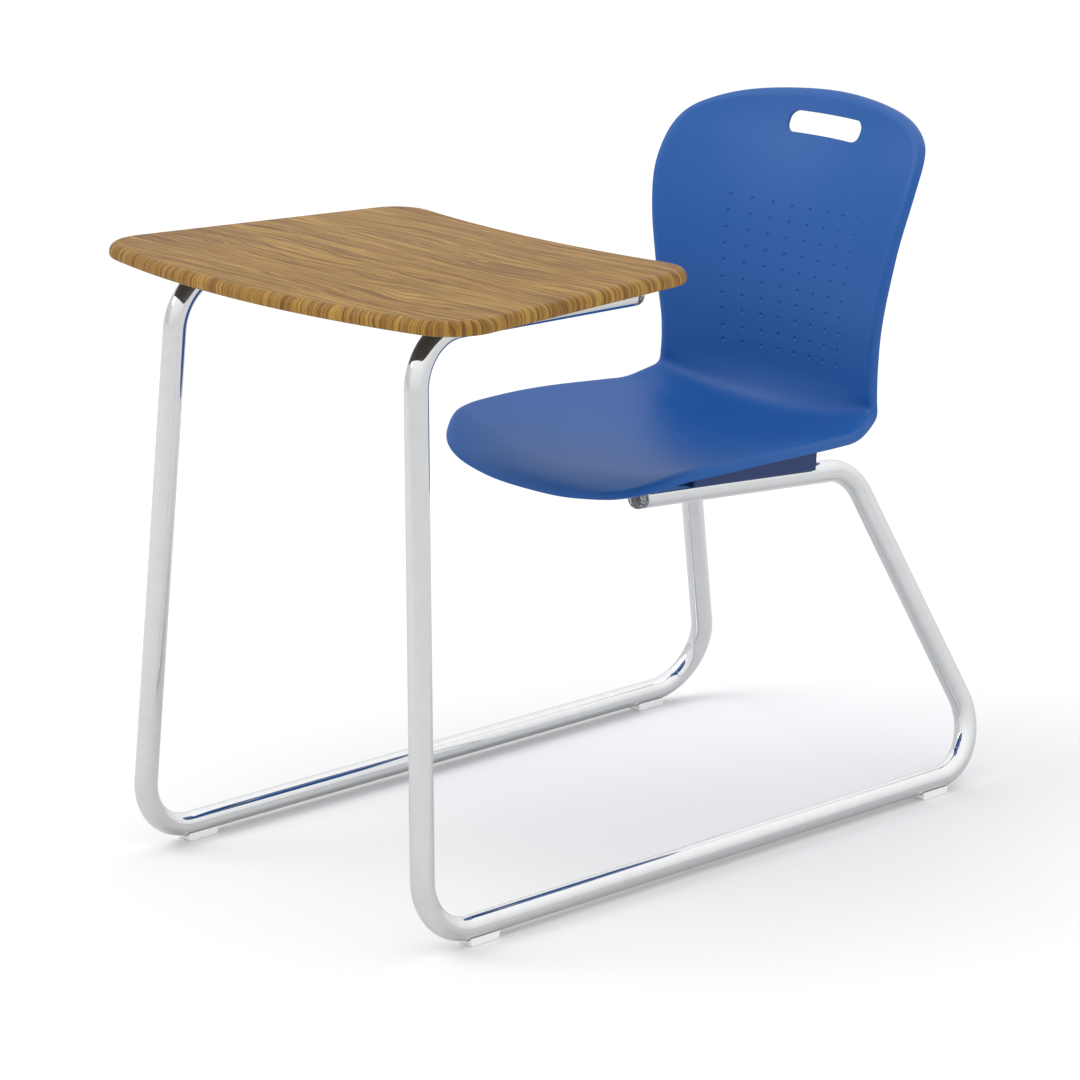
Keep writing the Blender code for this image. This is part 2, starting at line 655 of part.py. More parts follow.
def seat_shell(shell, finish):
    """The sitter's surface and the underside, joined round the rolled rim."""
    outline = shell_outline()
    normals = outward(outline)
    base = outline - normals * RIM_RADIUS
    grid = filled_grid(base)
    columns, rows, width = SHELL_COLUMNS, SHELL_ROWS, SHELL_COLUMNS + 1
    vertices, faces, edges = [], [], []
    for depth, radius in ((0.0, RIM_RADIUS), (SHELL_THICKNESS, RIM_RADIUS - SHELL_THICKNESS)):
        start = len(vertices)
        surface = shell.point(grid[..., 0], grid[..., 1], depth)
        vertices += list(surface.reshape(-1, 3))
        for row in range(rows):
            for column in range(columns):
                corner = start + row * width + column
                faces.append((corner, corner + 1, corner + 1 + width, corner + width))
        loop = [start + index for index in grid_loop_indices()]
        for ring in rim_rings(shell, base, normals, radius, RIM_RADIUS, RIM_STEPS):
            following = list(range(len(vertices), len(vertices) + len(ring)))
            vertices += list(ring)
            faces += band(loop, following)
            loop = following
        edges.append(loop)
    faces += band(*edges)
    return add_object("seat_shell", vertices, faces, finish)


def band(loop, following):
    """Faces between two loops of the same length."""
    count = len(loop)
    return [
        (loop[i], loop[(i + 1) % count], following[(i + 1) % count], following[i]) for i in range(count)
    ]


def grip_slot(shell_object, shell, finish):
    """Cuts the carrying slot through the back: an arched slot with round corners."""
    half, height = SLOT_HALF_LENGTH - SLOT_CORNER, SLOT_HEIGHT / 2 - SLOT_CORNER
    outline = []
    for quadrant, (x, z) in enumerate(((half, height), (-half, height), (-half, -height), (half, -height))):
        for step in range(SLOT_CORNER_STEPS + 1):
            angle = math.pi / 2 * (quadrant + step / SLOT_CORNER_STEPS)
            outline.append((x + SLOT_CORNER * math.cos(angle), z + SLOT_CORNER * math.sin(angle)))
        if quadrant in (0, 2):
            long_side = z + SLOT_CORNER * math.sin(angle)
            outline += [(x * share, long_side) for share in (0.5, 0.0, -0.5)]
    rings = [[(x, depth, z - SLOT_ARCH * x * x) for x, z in outline] for depth in (-SLOT_CUT, SLOT_CUT)]
    slot = loft("grip_slot", rings, finish)
    y, z, direction = shell.spine_at(np.array(SLOT_ALONG))
    slot.location = (0.0, float(y), float(z))
    slot.rotation_euler = (-math.atan2(direction[0], direction[1]), 0.0, 0.0)
    cutter("grip_slot", slot, [shell_object])


def seat_mount(name, side, shell, parent, finish):
    """A moulded wedge that fills the space between a seat tube and the shell's underside."""
    groove = TUBE_RADIUS + 2 * GAP
    angles = [math.radians(angle) for angle in range(150, 29, -12)]
    saddle = [(side * SEAT_TUBE_X + groove * math.cos(angle), groove * math.sin(angle)) for angle in angles]
    slope = math.atan(SEAT_SLOPE)
    rings = []
    for step in range(MOUNT_STEPS + 1):
        y = MOUNT_FRONT_Y + (MOUNT_REAR_Y - MOUNT_FRONT_Y) * step / MOUNT_STEPS - SEAT_TUBE_REAR_Y
        ring = [(x, y, z) for x, z in saddle]
        foot = saddle[0][1]
        for share in (1.0, 0.5, 0.0, -0.5, -1.0):
            x = side * SEAT_TUBE_X + share * MOUNT_HALF_WIDTH
            z = groove
            for _ in range(4):
                floor_y = SEAT_TUBE_REAR_Y + y * math.cos(slope) - z * math.sin(slope)
                under = shell.underside_z(x, floor_y, SHELL_THICKNESS + MOUNT_CLEARANCE)
                z = (under - SEAT_TUBE_REAR_Z - y * math.sin(slope)) / math.cos(slope)
            if abs(share) == 1.0:
                lower = (x, y, foot)
                ring += [lower, (x, y, z)] if share > 0 else [(x, y, z), lower]
            else:
                ring.append((x, y, z))
        rings.append(ring)
    return loft(name, rings, finish, parent)


def boss_top(shell, x, local_y):
    """How far above the seat tube's axis the shell's underside is at a boss."""
    slope = math.atan(SEAT_SLOPE)
    z = TUBE_RADIUS
    for _ in range(4):
        floor_y = SEAT_TUBE_REAR_Y + local_y * math.cos(slope) - z * math.sin(slope)
        under = shell.underside_z(x, floor_y, SHELL_THICKNESS)
        z = (under - SEAT_TUBE_REAR_Z - local_y * math.sin(slope)) / math.cos(slope)
    return z


def seat_boss(name, place, top, parent, finish):
    """A hollow boss from just over the tube to the given height, where it joins the shell."""
    foot, root = TUBE_RADIUS + BOSS_STANDOFF, top + BOSS_ROOT
    profile = ((BOSS_RADIUS, foot), (BOSS_RADIUS, root), (BOSS_BORE, root), (BOSS_BORE, foot))
    return turned(name, profile, BOSS_SIDES, finish, place, (0.0, 0.0, 1.0), parent, hollow=True)


def seat_fastening(shell_object, shell, tubes, parent, shell_finish, screw_finish):
    """Two mounts, each with two screws whose heads are inside the tube, up into bosses under the shell."""
    for (side, side_name), tube in zip(SIDES, tubes):
        mount = seat_mount(f"seat_mount_{side_name}", side, shell, parent, shell_finish)
        for end_name, y in (("front", SEAT_SCREW_FRONT_Y), ("rear", SEAT_SCREW_REAR_Y)):
            where = f"{side_name}_{end_name}"
            local_y = y - SEAT_TUBE_REAR_Y
            x = side * SEAT_TUBE_X
            top = boss_top(shell, x, local_y)
            boss = seat_boss(f"boss_{where}", (x, local_y, 0.0), top, parent, shell_finish)
            cutter(f"boss_{where}", boss, [shell_object], operation="UNION")
            drill_wedge = (f"boss_pocket_{where}", [(x, local_y, TUBE_RADIUS / 2)], BOSS_RADIUS + 2 * GAP)
            drill(*drill_wedge, 4 * TUBE_RADIUS, [mount], shell_finish, parent)
            axis_place, under_tube = (x, local_y, 0.0), (x, local_y, -TUBE_RADIUS - OVERRUN)
            half_way = TUBE_RADIUS + OVERRUN
            name, head = f"seat_screw_hole_{where}", SEAT_SCREW[0]
            drill(name, [axis_place], SEAT_SCREW_HOLE, half_way, [tube], screw_finish, parent)
            drill(name + "_access", [under_tube], head + 3 * GAP, half_way, [tube], screw_finish, parent)
            bearing = math.sqrt((TUBE_RADIUS - TUBE_WALL) ** 2 - head**2) - GAP
            length = top - bearing - 4 * GAP
            pan_screw(f"seat_screw_{where}", (x, local_y, bearing), SEAT_SCREW, length, parent, screw_finish)


# --- Assembly -------------------------------------------------------------------------------------


def main():
    for obj in list(bpy.data.objects):
        bpy.data.objects.remove(obj, do_unlink=True)

    chrome = material("bright_chrome", (0.86, 0.87, 0.88), 0.06, metallic=1.0)
    zinc = material("zinc_plate", (0.62, 0.62, 0.60), 0.35, metallic=1.0)
    blue = material("blue_polypropylene", (0.030, 0.130, 0.480), 0.42)
    oak = material("oak_laminate", (0.48, 0.30, 0.11), 0.40)
    clear = material("clear_plastic", (0.93, 0.95, 0.96), 0.08, transmission=0.9)
    white = material("white_nylon", (0.88, 0.88, 0.86), 0.40)

    desk_plane = sloped_plane("desk_plane", (0.0, DESK_TUBE_FRONT_Y, DESK_TUBE_FRONT_Z), DESK_SLOPE)
    seat_plane = sloped_plane("seat_plane", (0.0, SEAT_TUBE_REAR_Y, SEAT_TUBE_REAR_Z), SEAT_SLOPE)

    tubes = []
    for side, side_name in SIDES:
        tube = frame_tube(f"frame_tube_{side_name}", side, chrome)
        tubes.append(tube)
        corners = [Vector(corner) for corner in tube_corners(side)]
        tube_cap(f"desk_tube_cap_{side_name}", corners[0], corners[0] - corners[1], clear)
        tube_cap(f"seat_tube_cap_{side_name}", corners[-1], corners[-1] - corners[-2], clear)
        glides_and_rivets(tube, side, side_name, white, zinc)

    for end_name, y in (("front", DESK_CROSSBAR_FRONT_Y), ("rear", DESK_CROSSBAR_REAR_Y)):
        crossbar(f"desk_crossbar_{end_name}", y - DESK_TUBE_FRONT_Y, DESK_TUBE_X, desk_plane, zinc)
    for end_name, y in (("front", SEAT_CROSSBAR_FRONT_Y), ("rear", SEAT_CROSSBAR_REAR_Y)):
        crossbar(f"seat_crossbar_{end_name}", y - SEAT_TUBE_REAR_Y, SEAT_TUBE_X, seat_plane, zinc)

    top = desktop(desk_plane, oak)
    desk_fastening(desk_plane, top, zinc, zinc)

    shell = Shell()
    shell_object = seat_shell(shell, blue)
    seat_fastening(shell_object, shell, tubes, seat_plane, blue, zinc)
    grip_slot(shell_object, shell, blue)


main()
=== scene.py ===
import math

import bmesh
import bpy
import numpy as np
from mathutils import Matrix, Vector


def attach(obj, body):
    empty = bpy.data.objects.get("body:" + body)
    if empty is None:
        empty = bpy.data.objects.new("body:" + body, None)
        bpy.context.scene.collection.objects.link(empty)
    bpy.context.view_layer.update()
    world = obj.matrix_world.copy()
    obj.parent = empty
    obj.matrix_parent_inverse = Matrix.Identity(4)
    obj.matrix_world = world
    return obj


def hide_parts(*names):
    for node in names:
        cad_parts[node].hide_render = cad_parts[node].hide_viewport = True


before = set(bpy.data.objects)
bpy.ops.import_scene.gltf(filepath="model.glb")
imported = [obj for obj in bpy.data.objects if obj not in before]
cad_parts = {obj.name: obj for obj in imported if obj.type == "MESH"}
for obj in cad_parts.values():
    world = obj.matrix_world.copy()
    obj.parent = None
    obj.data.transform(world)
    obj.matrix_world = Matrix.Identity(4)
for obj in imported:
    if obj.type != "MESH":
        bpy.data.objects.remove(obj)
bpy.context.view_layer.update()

# Frame: two tubes, each one continuous bend from the writing top down, along the floor and up to the seat.
TUBE_DIAMETER = 0.028575
TUBE_RADIUS = TUBE_DIAMETER / 2
TUBE_WALL = 0.0021
GLIDE_HEIGHT = 0.006
RUNNER_Z = TUBE_RADIUS + GLIDE_HEIGHT
RUNNER_X = 0.2576
RUNNER_FRONT_Y = -0.4580
RUNNER_REAR_Y = 0.5230
DESK_TUBE_X = 0.2111
DESK_TUBE_FRONT_Y = -0.4216
DESK_TUBE_FRONT_Z = 0.7264
DESK_TUBE_END_Y = -0.0840
DESK_SLOPE = -0.01994  # rise per metre towards +Y
SEAT_TUBE_X = 0.1447
SEAT_TUBE_REAR_Y = 0.3682
SEAT_TUBE_REAR_Z = 0.4157
SEAT_TUBE_END_Y = 0.0025
SEAT_SLOPE = -0.0803
BEND_RADII = (0.069, 0.069, 0.069, 0.060)  # desk, runner front, runner rear, seat
TUBE_SIDES = 48
ARC_STEP = math.radians(3)
GAP = 0.0003  # between pieces that touch
SIDES = ((1, "left"), (-1, "right"))

# Caps in the four tube ends.
CAP_SHANK = 0.016
CAP_HEAD = 0.0145
CAP_SIDES = 48
CAP_TIP_BEVEL = 0.001
CAP_RIBS = 3
CAP_RIB_HEIGHT = 0.0012
CAP_RIB_START = 0.0025  # from the shank's tip to the first rib
CAP_RIB_PITCH = 0.0042
CAP_RIB_STRETCH = 0.0008  # a rib rises, runs and falls over this length each
CAP_BRIM_ROUND = 0.0008
CAP_BRIM_STEPS = 3
CAP_DOME = 0.0075
CAP_DOME_STEPS = 12

# Feet under the runners.
GLIDE_LENGTH = 0.045
GLIDE_HALF_WIDTH = 0.0125
GLIDE_SIDE_TOP = 0.0105
GLIDE_BEVEL = 0.003
GLIDE_FRONT_Y = -0.371
GLIDE_REAR_Y = 0.407
GLIDE_CORNER = 0.002  # round along the sole's long edges
GLIDE_CORNER_SHARE = 0.45  # the most of the side's height that it takes
GLIDE_CORNER_STEPS = 6
GLIDE_END_TAPER = 3  # how much more an end rises than it narrows
GLIDE_END_STEPS = 6
GLIDE_GROOVE_STEPS = 24
GLIDE_SMOOTH = 50.0

# Writing top: a plan with bowed front and rear edges, tapering to the rear, with a rounded edge all round.
TOP_THICKNESS = 0.0170
TOP_FRONT_Y = -0.5063
TOP_FRONT_BOW = 0.46
TOP_REAR_Y = -0.0372
TOP_REAR_BOW = 0.43
TOP_FRONT_HALF = 0.3290  # half widths of the side lines at the two y values below
TOP_FRONT_HALF_Y = -0.4875
TOP_REAR_HALF = 0.2640
TOP_REAR_HALF_Y = -0.0325
TOP_FRONT_RADIUS = 0.064
TOP_REAR_RADIUS = 0.0515
TOP_UPPER_ROUND = 0.0100
TOP_LOWER_ROUND = 0.0045
TOP_CORNER_STEPS = 24
TOP_CORNER_ROUNDS = 20  # rounds in which a side line settles on a bowed end
TOP_BOW_STEPS = 24
TOP_UPPER_STEPS = 12
TOP_LOWER_STEPS = 6
TOP_SMOOTH = 30.0
GRAIN_MEETS_Y = -0.26  # where the grain of the edge meets that of the upper face

# Seat shell: a spine from the front lip over the seat and up the back, and half widths along it.
SHELL_THICKNESS = 0.0050
RIM_RADIUS = 0.0125
RIM_DROP = 0.0035
SPINE = (  # (y, z) of the upper surface on the centre line
    (-0.0570, 0.4378), (-0.0410, 0.4525), (-0.0100, 0.4610), (0.0400, 0.4614), (0.1200, 0.4612),
    (0.2000, 0.4598), (0.2800, 0.4583), (0.3350, 0.4592), (0.3835, 0.4708), (0.3992, 0.5008),
    (0.4028, 0.5480), (0.4042, 0.5970), (0.4115, 0.6500), (0.4245, 0.7100), (0.4440, 0.7650),
    (0.4710, 0.8200), (0.4870, 0.8645),
)
OUTLINE_FRONT = ((0.0, 0.0), (0.080, 0.0040), (0.140, 0.0178), (0.180, 0.0422))
OUTLINE_SIDE = (  # (half width, length along the spine)
    (0.2088, 0.0765), (0.2210, 0.112), (0.2250, 0.165), (0.2247, 0.235), (0.2170, 0.315),
    (0.2053, 0.390), (0.1937, 0.440), (0.1887, 0.490), (0.1890, 0.540), (0.1980, 0.600),
    (0.2110, 0.665), (0.2200, 0.725), (0.2158, 0.770), (0.2035, 0.7985),
)
OUTLINE_TOP = ((0.184, 0.8195), (0.150, 0.8385), (0.090, 0.8545), (0.0, 0.8632))
SEAT_DISH = 0.64  # rise of the surface over the spine, per square of the distance from it
BACK_DISH = 1.33
TOP_DISH = 1.15
FRONT_FADE = 0.095  # length of the front over which the dish grows from nothing
FOLD_LENGTHS = (0.36, 0.50)  # where the dish changes from the seat's to the back's
TOP_LENGTHS = (0.66, 0.85)  # and from the back's to the top's
END_REACH = 0.004  # half the length of spine over which its direction is taken
FOLD_REACH = 0.048  # longer by the fold, so that the dished sides turn it without a crease
REACH_GROWS = (0.26, 0.37)
REACH_FALLS = (0.54, 0.68)
FRONT_ROLL = 32.0  # degrees that the rim turns at the front lip, which already points down
ROLL_GROWS = (0.02, 0.10)  # where that turn grows to a quarter circle
OUTLINE_STEPS = 30
SHELL_COLUMNS = 60
SHELL_ROWS = 150
RIM_STEPS = 10
SPINE_STEPS = 12
SHELL_SMOOTH = 32.0

# Carrying slot through the back.
SLOT_ALONG = 0.8160
SLOT_HALF_LENGTH = 0.0630
SLOT_HEIGHT = 0.0295
SLOT_CORNER = 0.0125
SLOT_ARCH = 0.6  # drop of the slot towards its ends, per square of the distance from the middle
SLOT_CUT = 0.05  # how far the slot's cutter runs before and behind the back

# Wedges between the seat tubes and the shell.
WEDGE_FRONT_Y = 0.075
WEDGE_REAR_Y = 0.290
WEDGE_HALF_WIDTH = 0.0165
WEDGE_CLEARANCE = 0.0016
WEDGE_STEPS = 40
WEDGE_COLUMNS = 9
WEDGE_SOFTNESS = 0.0012
SADDLE_HALF_ANGLE = 60  # degrees of the tube's upper half that the wedge sits on, to each side
SADDLE_STEPS = 30
FITTING_ROUNDS = 4  # rounds in which the wedge's upper face settles under the dished shell
UNDERSIDE_START = 0.02  # length of the spine from which the seat's underside is read
UNDERSIDE_STEPS = 80

# Detail that only the visual model has.
DIMPLE_RADIUS = 0.0030
DIMPLE_DEPTH = 0.0014
DIMPLE_COLUMNS = 8
DIMPLE_ROWS = (0.7190, 0.6990, 0.6790, 0.6585, 0.6380, 0.6170, 0.5970, 0.5770, 0.5555, 0.5365)
DIMPLE_PITCH = (0.0317, 0.0286)  # between columns, in the top row and in the bottom row
DIMPLE_SIDES = 20
DIMPLE_BALL_STEPS = 22
DIMPLE_BALL_END = 88  # degrees, just short of the ball's poles
BACK_FROM_Z = 0.50  # the spine is on the back above this height
PROBE = 0.001  # step over which the shell's normal is taken
SLOT_LIP = 0.0016
SLOT_LIP_SEGMENTS = 4
SLOT_LIP_ANGLE = math.radians(50)  # the slot's edges are sharper than this
SLOT_LIP_SLACK = 0.001
SLOT_LOWEST, SLOT_HIGHEST = 0.79, 0.845  # the slot is between these heights
SLOT_ARC_STEPS = 8
SLOT_SIDE_STEPS = 8
PLATE_SOFTNESS = 0.0006
SOFT_SEGMENTS = 2
SOFT_ANGLE = math.radians(40)
SMOOTH = 35.0  # degrees, where a piece has no angle of its own
HARDWARE = ("desk_plate", "desk_screw", "seat_screw", "glide_rivet", "desk_crossbar", "seat_crossbar")

# Looks.
CHROME_DARK = (0.80, 0.81, 0.82)
CHROME_LIGHT = (0.84, 0.85, 0.86)
ZINC_DARK = (0.50, 0.50, 0.49)
ZINC_LIGHT = (0.64, 0.64, 0.62)
BLUE_DARK = (0.0030, 0.080, 0.320)
BLUE_LIGHT = (0.0045, 0.094, 0.360)
# The wedges' blue is the shell's plastic darkened by painted shade, standing in for the shade under the seat.
WEDGE_PAINTED_SHADE_DARK = (0.006, 0.030, 0.130)
WEDGE_PAINTED_SHADE_LIGHT = (0.008, 0.040, 0.170)
NYLON_DARK = (0.92, 0.92, 0.91)
NYLON_LIGHT = (0.95, 0.95, 0.94)
CLEAR_DARK = (0.95, 0.96, 0.97)
CLEAR_LIGHT = (0.99, 0.99, 0.99)
# The underside of the writing top is painted as dark as it looks in the shade under the top: painted shade.
BACKING_PAINTED_SHADE_DARK = (0.016, 0.009, 0.004)
BACKING_PAINTED_SHADE_LIGHT = (0.030, 0.018, 0.008)
WOOD_PORE = (0.110, 0.040, 0.007)
WOOD_DARK = (0.200, 0.080, 0.015)
WOOD_MID = (0.265, 0.130, 0.024)
WOOD_LIGHT = (0.420, 0.245, 0.050)
WHITE = (1.0, 1.0, 1.0)
MOTTLE_FROM, MOTTLE_TO = 0.3, 0.7  # noise values of a mottle's dark and light colours
MOTTLE_RELIEF = 0.0004
GRAIN_RELIEF = 0.0003
GRAIN_DRIFT = 0.045  # how far the growth lines wander to each side
DRIFT_SCALE = (2.6, 9.0, 1.0)
GROWTH_SCALE = (2.6, 58.0, 1.0)  # along and across the grain
LINE_SCALE = (5.0, 260.0, 1.0)
FIBRE_SCALE = (24.0, 820.0, 1.0)
LINE_SHARE = 0.64
FIBRE_SHARE = 0.15

# Studio.
FLOOR_SIZE = 60.0
FLOOR_PALE = (0.93, 0.93, 0.93)
FLOOR_IN_CHROME = (0.66, 0.66, 0.66)  # the floor as glossy rays see it, darker than it is shown
WORLD_STRENGTH = 0.69
SKY_LOW = (1.15, 1.15, 1.15)
SKY_HIGH = (1.60, 1.60, 1.60)
SKY_HIGH_FROM = 0.75
FLAG_DIRECTION = (-0.883, -0.469, 0.0)
FLAG_SHADE = (0.78, 0.78, 0.78)
FLAG_EDGE, FLAG_CORE = 0.62, 0.86  # cosines of the angle from the flag's direction
AIM = (0.0, 0.0, 0.40)
SUN_PLACE = (-2.2, -2.0, 4.4)
SUN_ANGLE = math.radians(32.0)
SUN_STRENGTH = 0.42
SOFT_BOX_PLACE = (-2.4, -3.0, 3.2)
SOFT_BOX_SIZE = 1.8
SOFT_BOX_POWER = 24.0
CAMERA_PLACE = (4.15883, -3.94635, 1.95484)
CAMERA_TURN = (math.radians(74.475), 0.0, math.radians(46.722))
CAMERA_LENS = 160.63
CAMERA_SENSOR = 36.0
CAMERA_REACH = 200.0

# --- Curves ---------------------------------------------------------------------------------------


def smooth_curve(points, steps):
    """A centripetal Catmull-Rom curve through the points, with the given steps between each two."""
    points = np.array(points, float)
    padded = np.vstack([2 * points[0] - points[1], points, 2 * points[-1] - points[-2]])
    curve = []
    for before, start, end, after in zip(padded, padded[1:], padded[2:], padded[3:]):
        first, middle, last = (
            math.sqrt(np.linalg.norm(b - a)) for a, b in ((before, start), (start, end), (end, after))
        )
        step = end - start
        leaving = step + middle * ((start - before) / first - (end - before) / (first + middle))
        arriving = step + middle * ((after - end) / last - (after - start) / (middle + last))
        for t in np.linspace(0.0, 1.0, steps, endpoint=False):
            curve.append(
                (2 * t**3 - 3 * t**2 + 1) * start
                + (t**3 - 2 * t**2 + t) * leaving
                + (3 * t**2 - 2 * t**3) * end
                + (t**3 - t**2) * arriving
            )
    return np.array(curve + [points[-1]])


def lengths_along(points):
    return np.concatenate([[0.0], np.cumsum(np.linalg.norm(np.diff(points, axis=0), axis=1))])


def evenly(points, count):
    """The curve's points read again at even spacing, as count steps."""
    along = lengths_along(points)
    wanted = np.linspace(0.0, along[-1], count + 1)
    return np.stack([np.interp(wanted, along, axis) for axis in points.T], axis=1)


def ease(value, low, high):
    t = np.clip((value - low) / (high - low), 0.0, 1.0)
    return t * t * (3 - 2 * t)


def bent_path(corners, radii):
    """A line through the corners, with each inner corner rounded by an arc of its radius."""
    corners = [Vector(corner) for corner in corners]
    path = [corners[0]]
    for before, corner, after, radius in zip(corners, corners[1:], corners[2:], radii):
        back, ahead = (before - corner).normalized(), (after - corner).normalized()
        inside = back.angle(ahead)
        start = corner + back * radius / math.tan(inside / 2)
        centre = corner + (back + ahead).normalized() * radius / math.sin(inside / 2)
        turn = math.pi - inside
        spoke = (start - centre).normalized()
        tangent = -back
        steps = math.ceil(turn / ARC_STEP)
        for step in range(steps + 1):
            angle = turn * step / steps
            path.append(centre + radius * (spoke * math.cos(angle) + tangent * math.sin(angle)))
    path.append(corners[-1])
    return path


def ring_frames(path):
    """For each point of a path, its two side directions, carried along without twist."""
    tangents = []
    for number in range(len(path)):
        before, after = path[max(number - 1, 0)], path[min(number + 1, len(path) - 1)]
        tangents.append((after - before).normalized())
    across = Vector((1.0, 0.0, 0.0))
    frames = []
    for tangent in tangents:
        across = (across - across.dot(tangent) * tangent).normalized()
        frames.append((across, tangent.cross(across)))
    return frames


def desk_tube_z(y):
    return DESK_TUBE_FRONT_Z + DESK_SLOPE * (y - DESK_TUBE_FRONT_Y)


def seat_tube_z(y):
    return SEAT_TUBE_REAR_Z + SEAT_SLOPE * (y - SEAT_TUBE_REAR_Y)


def tube_corners(side):
    return (
        (side * DESK_TUBE_X, DESK_TUBE_END_Y, desk_tube_z(DESK_TUBE_END_Y)),
        (side * DESK_TUBE_X, DESK_TUBE_FRONT_Y, DESK_TUBE_FRONT_Z),
        (side * RUNNER_X, RUNNER_FRONT_Y, RUNNER_Z),
        (side * RUNNER_X, RUNNER_REAR_Y, RUNNER_Z),
        (side * SEAT_TUBE_X, SEAT_TUBE_REAR_Y, SEAT_TUBE_REAR_Z),
        (side * SEAT_TUBE_X, SEAT_TUBE_END_Y, seat_tube_z(SEAT_TUBE_END_Y)),
    )


def top_side_x(y):
    share = (y - TOP_FRONT_HALF_Y) / (TOP_REAR_HALF_Y - TOP_FRONT_HALF_Y)
    return TOP_FRONT_HALF + share * (TOP_REAR_HALF - TOP_FRONT_HALF)


def top_corner(end_y, bow):
    """Where the side line meets a bowed end."""
    y = end_y
    for _ in range(TOP_CORNER_ROUNDS):
        y = end_y + bow * top_side_x(y) ** 2
    return np.array([top_side_x(y), y])


def rounded_corner(before, corner, after, radius, steps):
    """Points of an arc tangent to the two lines that meet at a corner."""
    path = bent_path([(*before, 0.0), (*corner, 0.0), (*after, 0.0)], [radius])[1:-1]
    return evenly(np.array([point[:2] for point in path]), steps)


def top_outline():
    """The right half of the plan from the middle of the front to the middle of the rear, then its mirror."""
    front, rear = top_corner(TOP_FRONT_Y, TOP_FRONT_BOW), top_corner(TOP_REAR_Y, TOP_REAR_BOW)

    def bowed(x, end_y, bow):
        return np.array([x, end_y + bow * x * x])

    near_front = bowed(front[0] - TOP_FRONT_RADIUS, TOP_FRONT_Y, TOP_FRONT_BOW)
    near_rear = bowed(rear[0] - TOP_REAR_RADIUS, TOP_REAR_Y, TOP_REAR_BOW)
    front_arc = rounded_corner(near_front, front, rear, TOP_FRONT_RADIUS, TOP_CORNER_STEPS)
    rear_arc = rounded_corner(front, rear, near_rear, TOP_REAR_RADIUS, TOP_CORNER_STEPS)
    shares = np.arange(TOP_BOW_STEPS) / TOP_BOW_STEPS
    half = [bowed(front_arc[0][0] * share, TOP_FRONT_Y, TOP_FRONT_BOW) for share in shares]
    half += list(front_arc) + list(rear_arc)
    half += [bowed(rear_arc[-1][0] * (1 - share), TOP_REAR_Y, TOP_REAR_BOW) for share in shares[1:]]
    half.append(bowed(0.0, TOP_REAR_Y, TOP_REAR_BOW))
    half = np.array(half)
    return np.vstack([half, half[-2:0:-1] * (-1.0, 1.0)])


def inset(outline, distance):
    """The outline moved inwards along its own normals."""
    along = np.roll(outline, -1, axis=0) - np.roll(outline, 1, axis=0)
    along /= np.linalg.norm(along, axis=1)[:, None]
    return outline + distance * np.stack([-along[:, 1], along[:, 0]], axis=1)


class Shell:
    """The seat shell's surface, read at a distance across and a length along the spine."""

    def __init__(self):
        self.spine = smooth_curve(SPINE, SPINE_STEPS)
        self.lengths = lengths_along(self.spine)

    def spine_at(self, along):
        """The spine's point and its direction. Past either end the spine runs on straight."""
        y, z = (np.interp(along, self.lengths, axis) for axis in self.spine.T)
        near_fold = ease(along, *REACH_GROWS) - ease(along, *REACH_FALLS)
        reach = END_REACH + (FOLD_REACH - END_REACH) * near_fold
        ahead = [np.interp(along + reach, self.lengths, axis) for axis in self.spine.T]
        behind = [np.interp(along - reach, self.lengths, axis) for axis in self.spine.T]
        direction = np.array(ahead) - np.array(behind)
        direction = direction / np.linalg.norm(direction, axis=0)
        beyond = along - np.clip(along, 0.0, self.lengths[-1])
        return y + beyond * direction[0], z + beyond * direction[1], direction

    def point(self, across, along, depth=0.0):
        """A point this deep under the sitter's surface."""
        y, z, direction = self.spine_at(along)
        share = ease(along, *FOLD_LENGTHS)
        top_share = ease(along, *TOP_LENGTHS)
        dish = SEAT_DISH + (BACK_DISH - SEAT_DISH) * share + (TOP_DISH - BACK_DISH) * top_share
        dish = dish * ease(along, 0.0, FRONT_FADE)
        rise = dish * across**2 - depth
        return np.stack([across, y - direction[1] * rise, z + direction[0] * rise], axis=-1)

    def underside_z(self, x, y, depth):
        """Height of the underside over a point of the floor, under the seat."""
        along = np.linspace(UNDERSIDE_START, FOLD_LENGTHS[0], UNDERSIDE_STEPS)
        points = self.point(np.full_like(along, x), along, depth)
        return float(np.interp(y, points[:, 1], points[:, 2]))


def shell_outline():
    """The outer edge as (across, along): front, right side, top and left side, each as even steps."""
    half = OUTLINE_FRONT + OUTLINE_SIDE + OUTLINE_TOP
    mirrored = tuple((-x, along) for x, along in half[-2:0:-1])
    closed = half + mirrored
    looped = closed[-2:] + closed + closed[:3]
    curve = smooth_curve(looped, OUTLINE_STEPS)[2 * OUTLINE_STEPS : -2 * OUTLINE_STEPS]
    start = len(OUTLINE_FRONT) * OUTLINE_STEPS
    end = start + (len(OUTLINE_SIDE) - 1) * OUTLINE_STEPS
    total = len(closed) * OUTLINE_STEPS
    right = evenly(curve[start : end + 1], SHELL_ROWS)
    top = evenly(curve[end : total - end + 1], SHELL_COLUMNS)
    left = right[::-1] * (-1.0, 1.0)
    front = evenly(np.vstack([curve[total - start : total], curve[: start + 1]]), SHELL_COLUMNS)
    return np.vstack([front[:-1], right[:-1], top[:-1], left[:-1]])


def outward(loop):
    along = np.roll(loop, -1, axis=0) - np.roll(loop, 1, axis=0)
    along /= np.linalg.norm(along, axis=1)[:, None]
    return np.stack([along[:, 1], -along[:, 0]], axis=1)


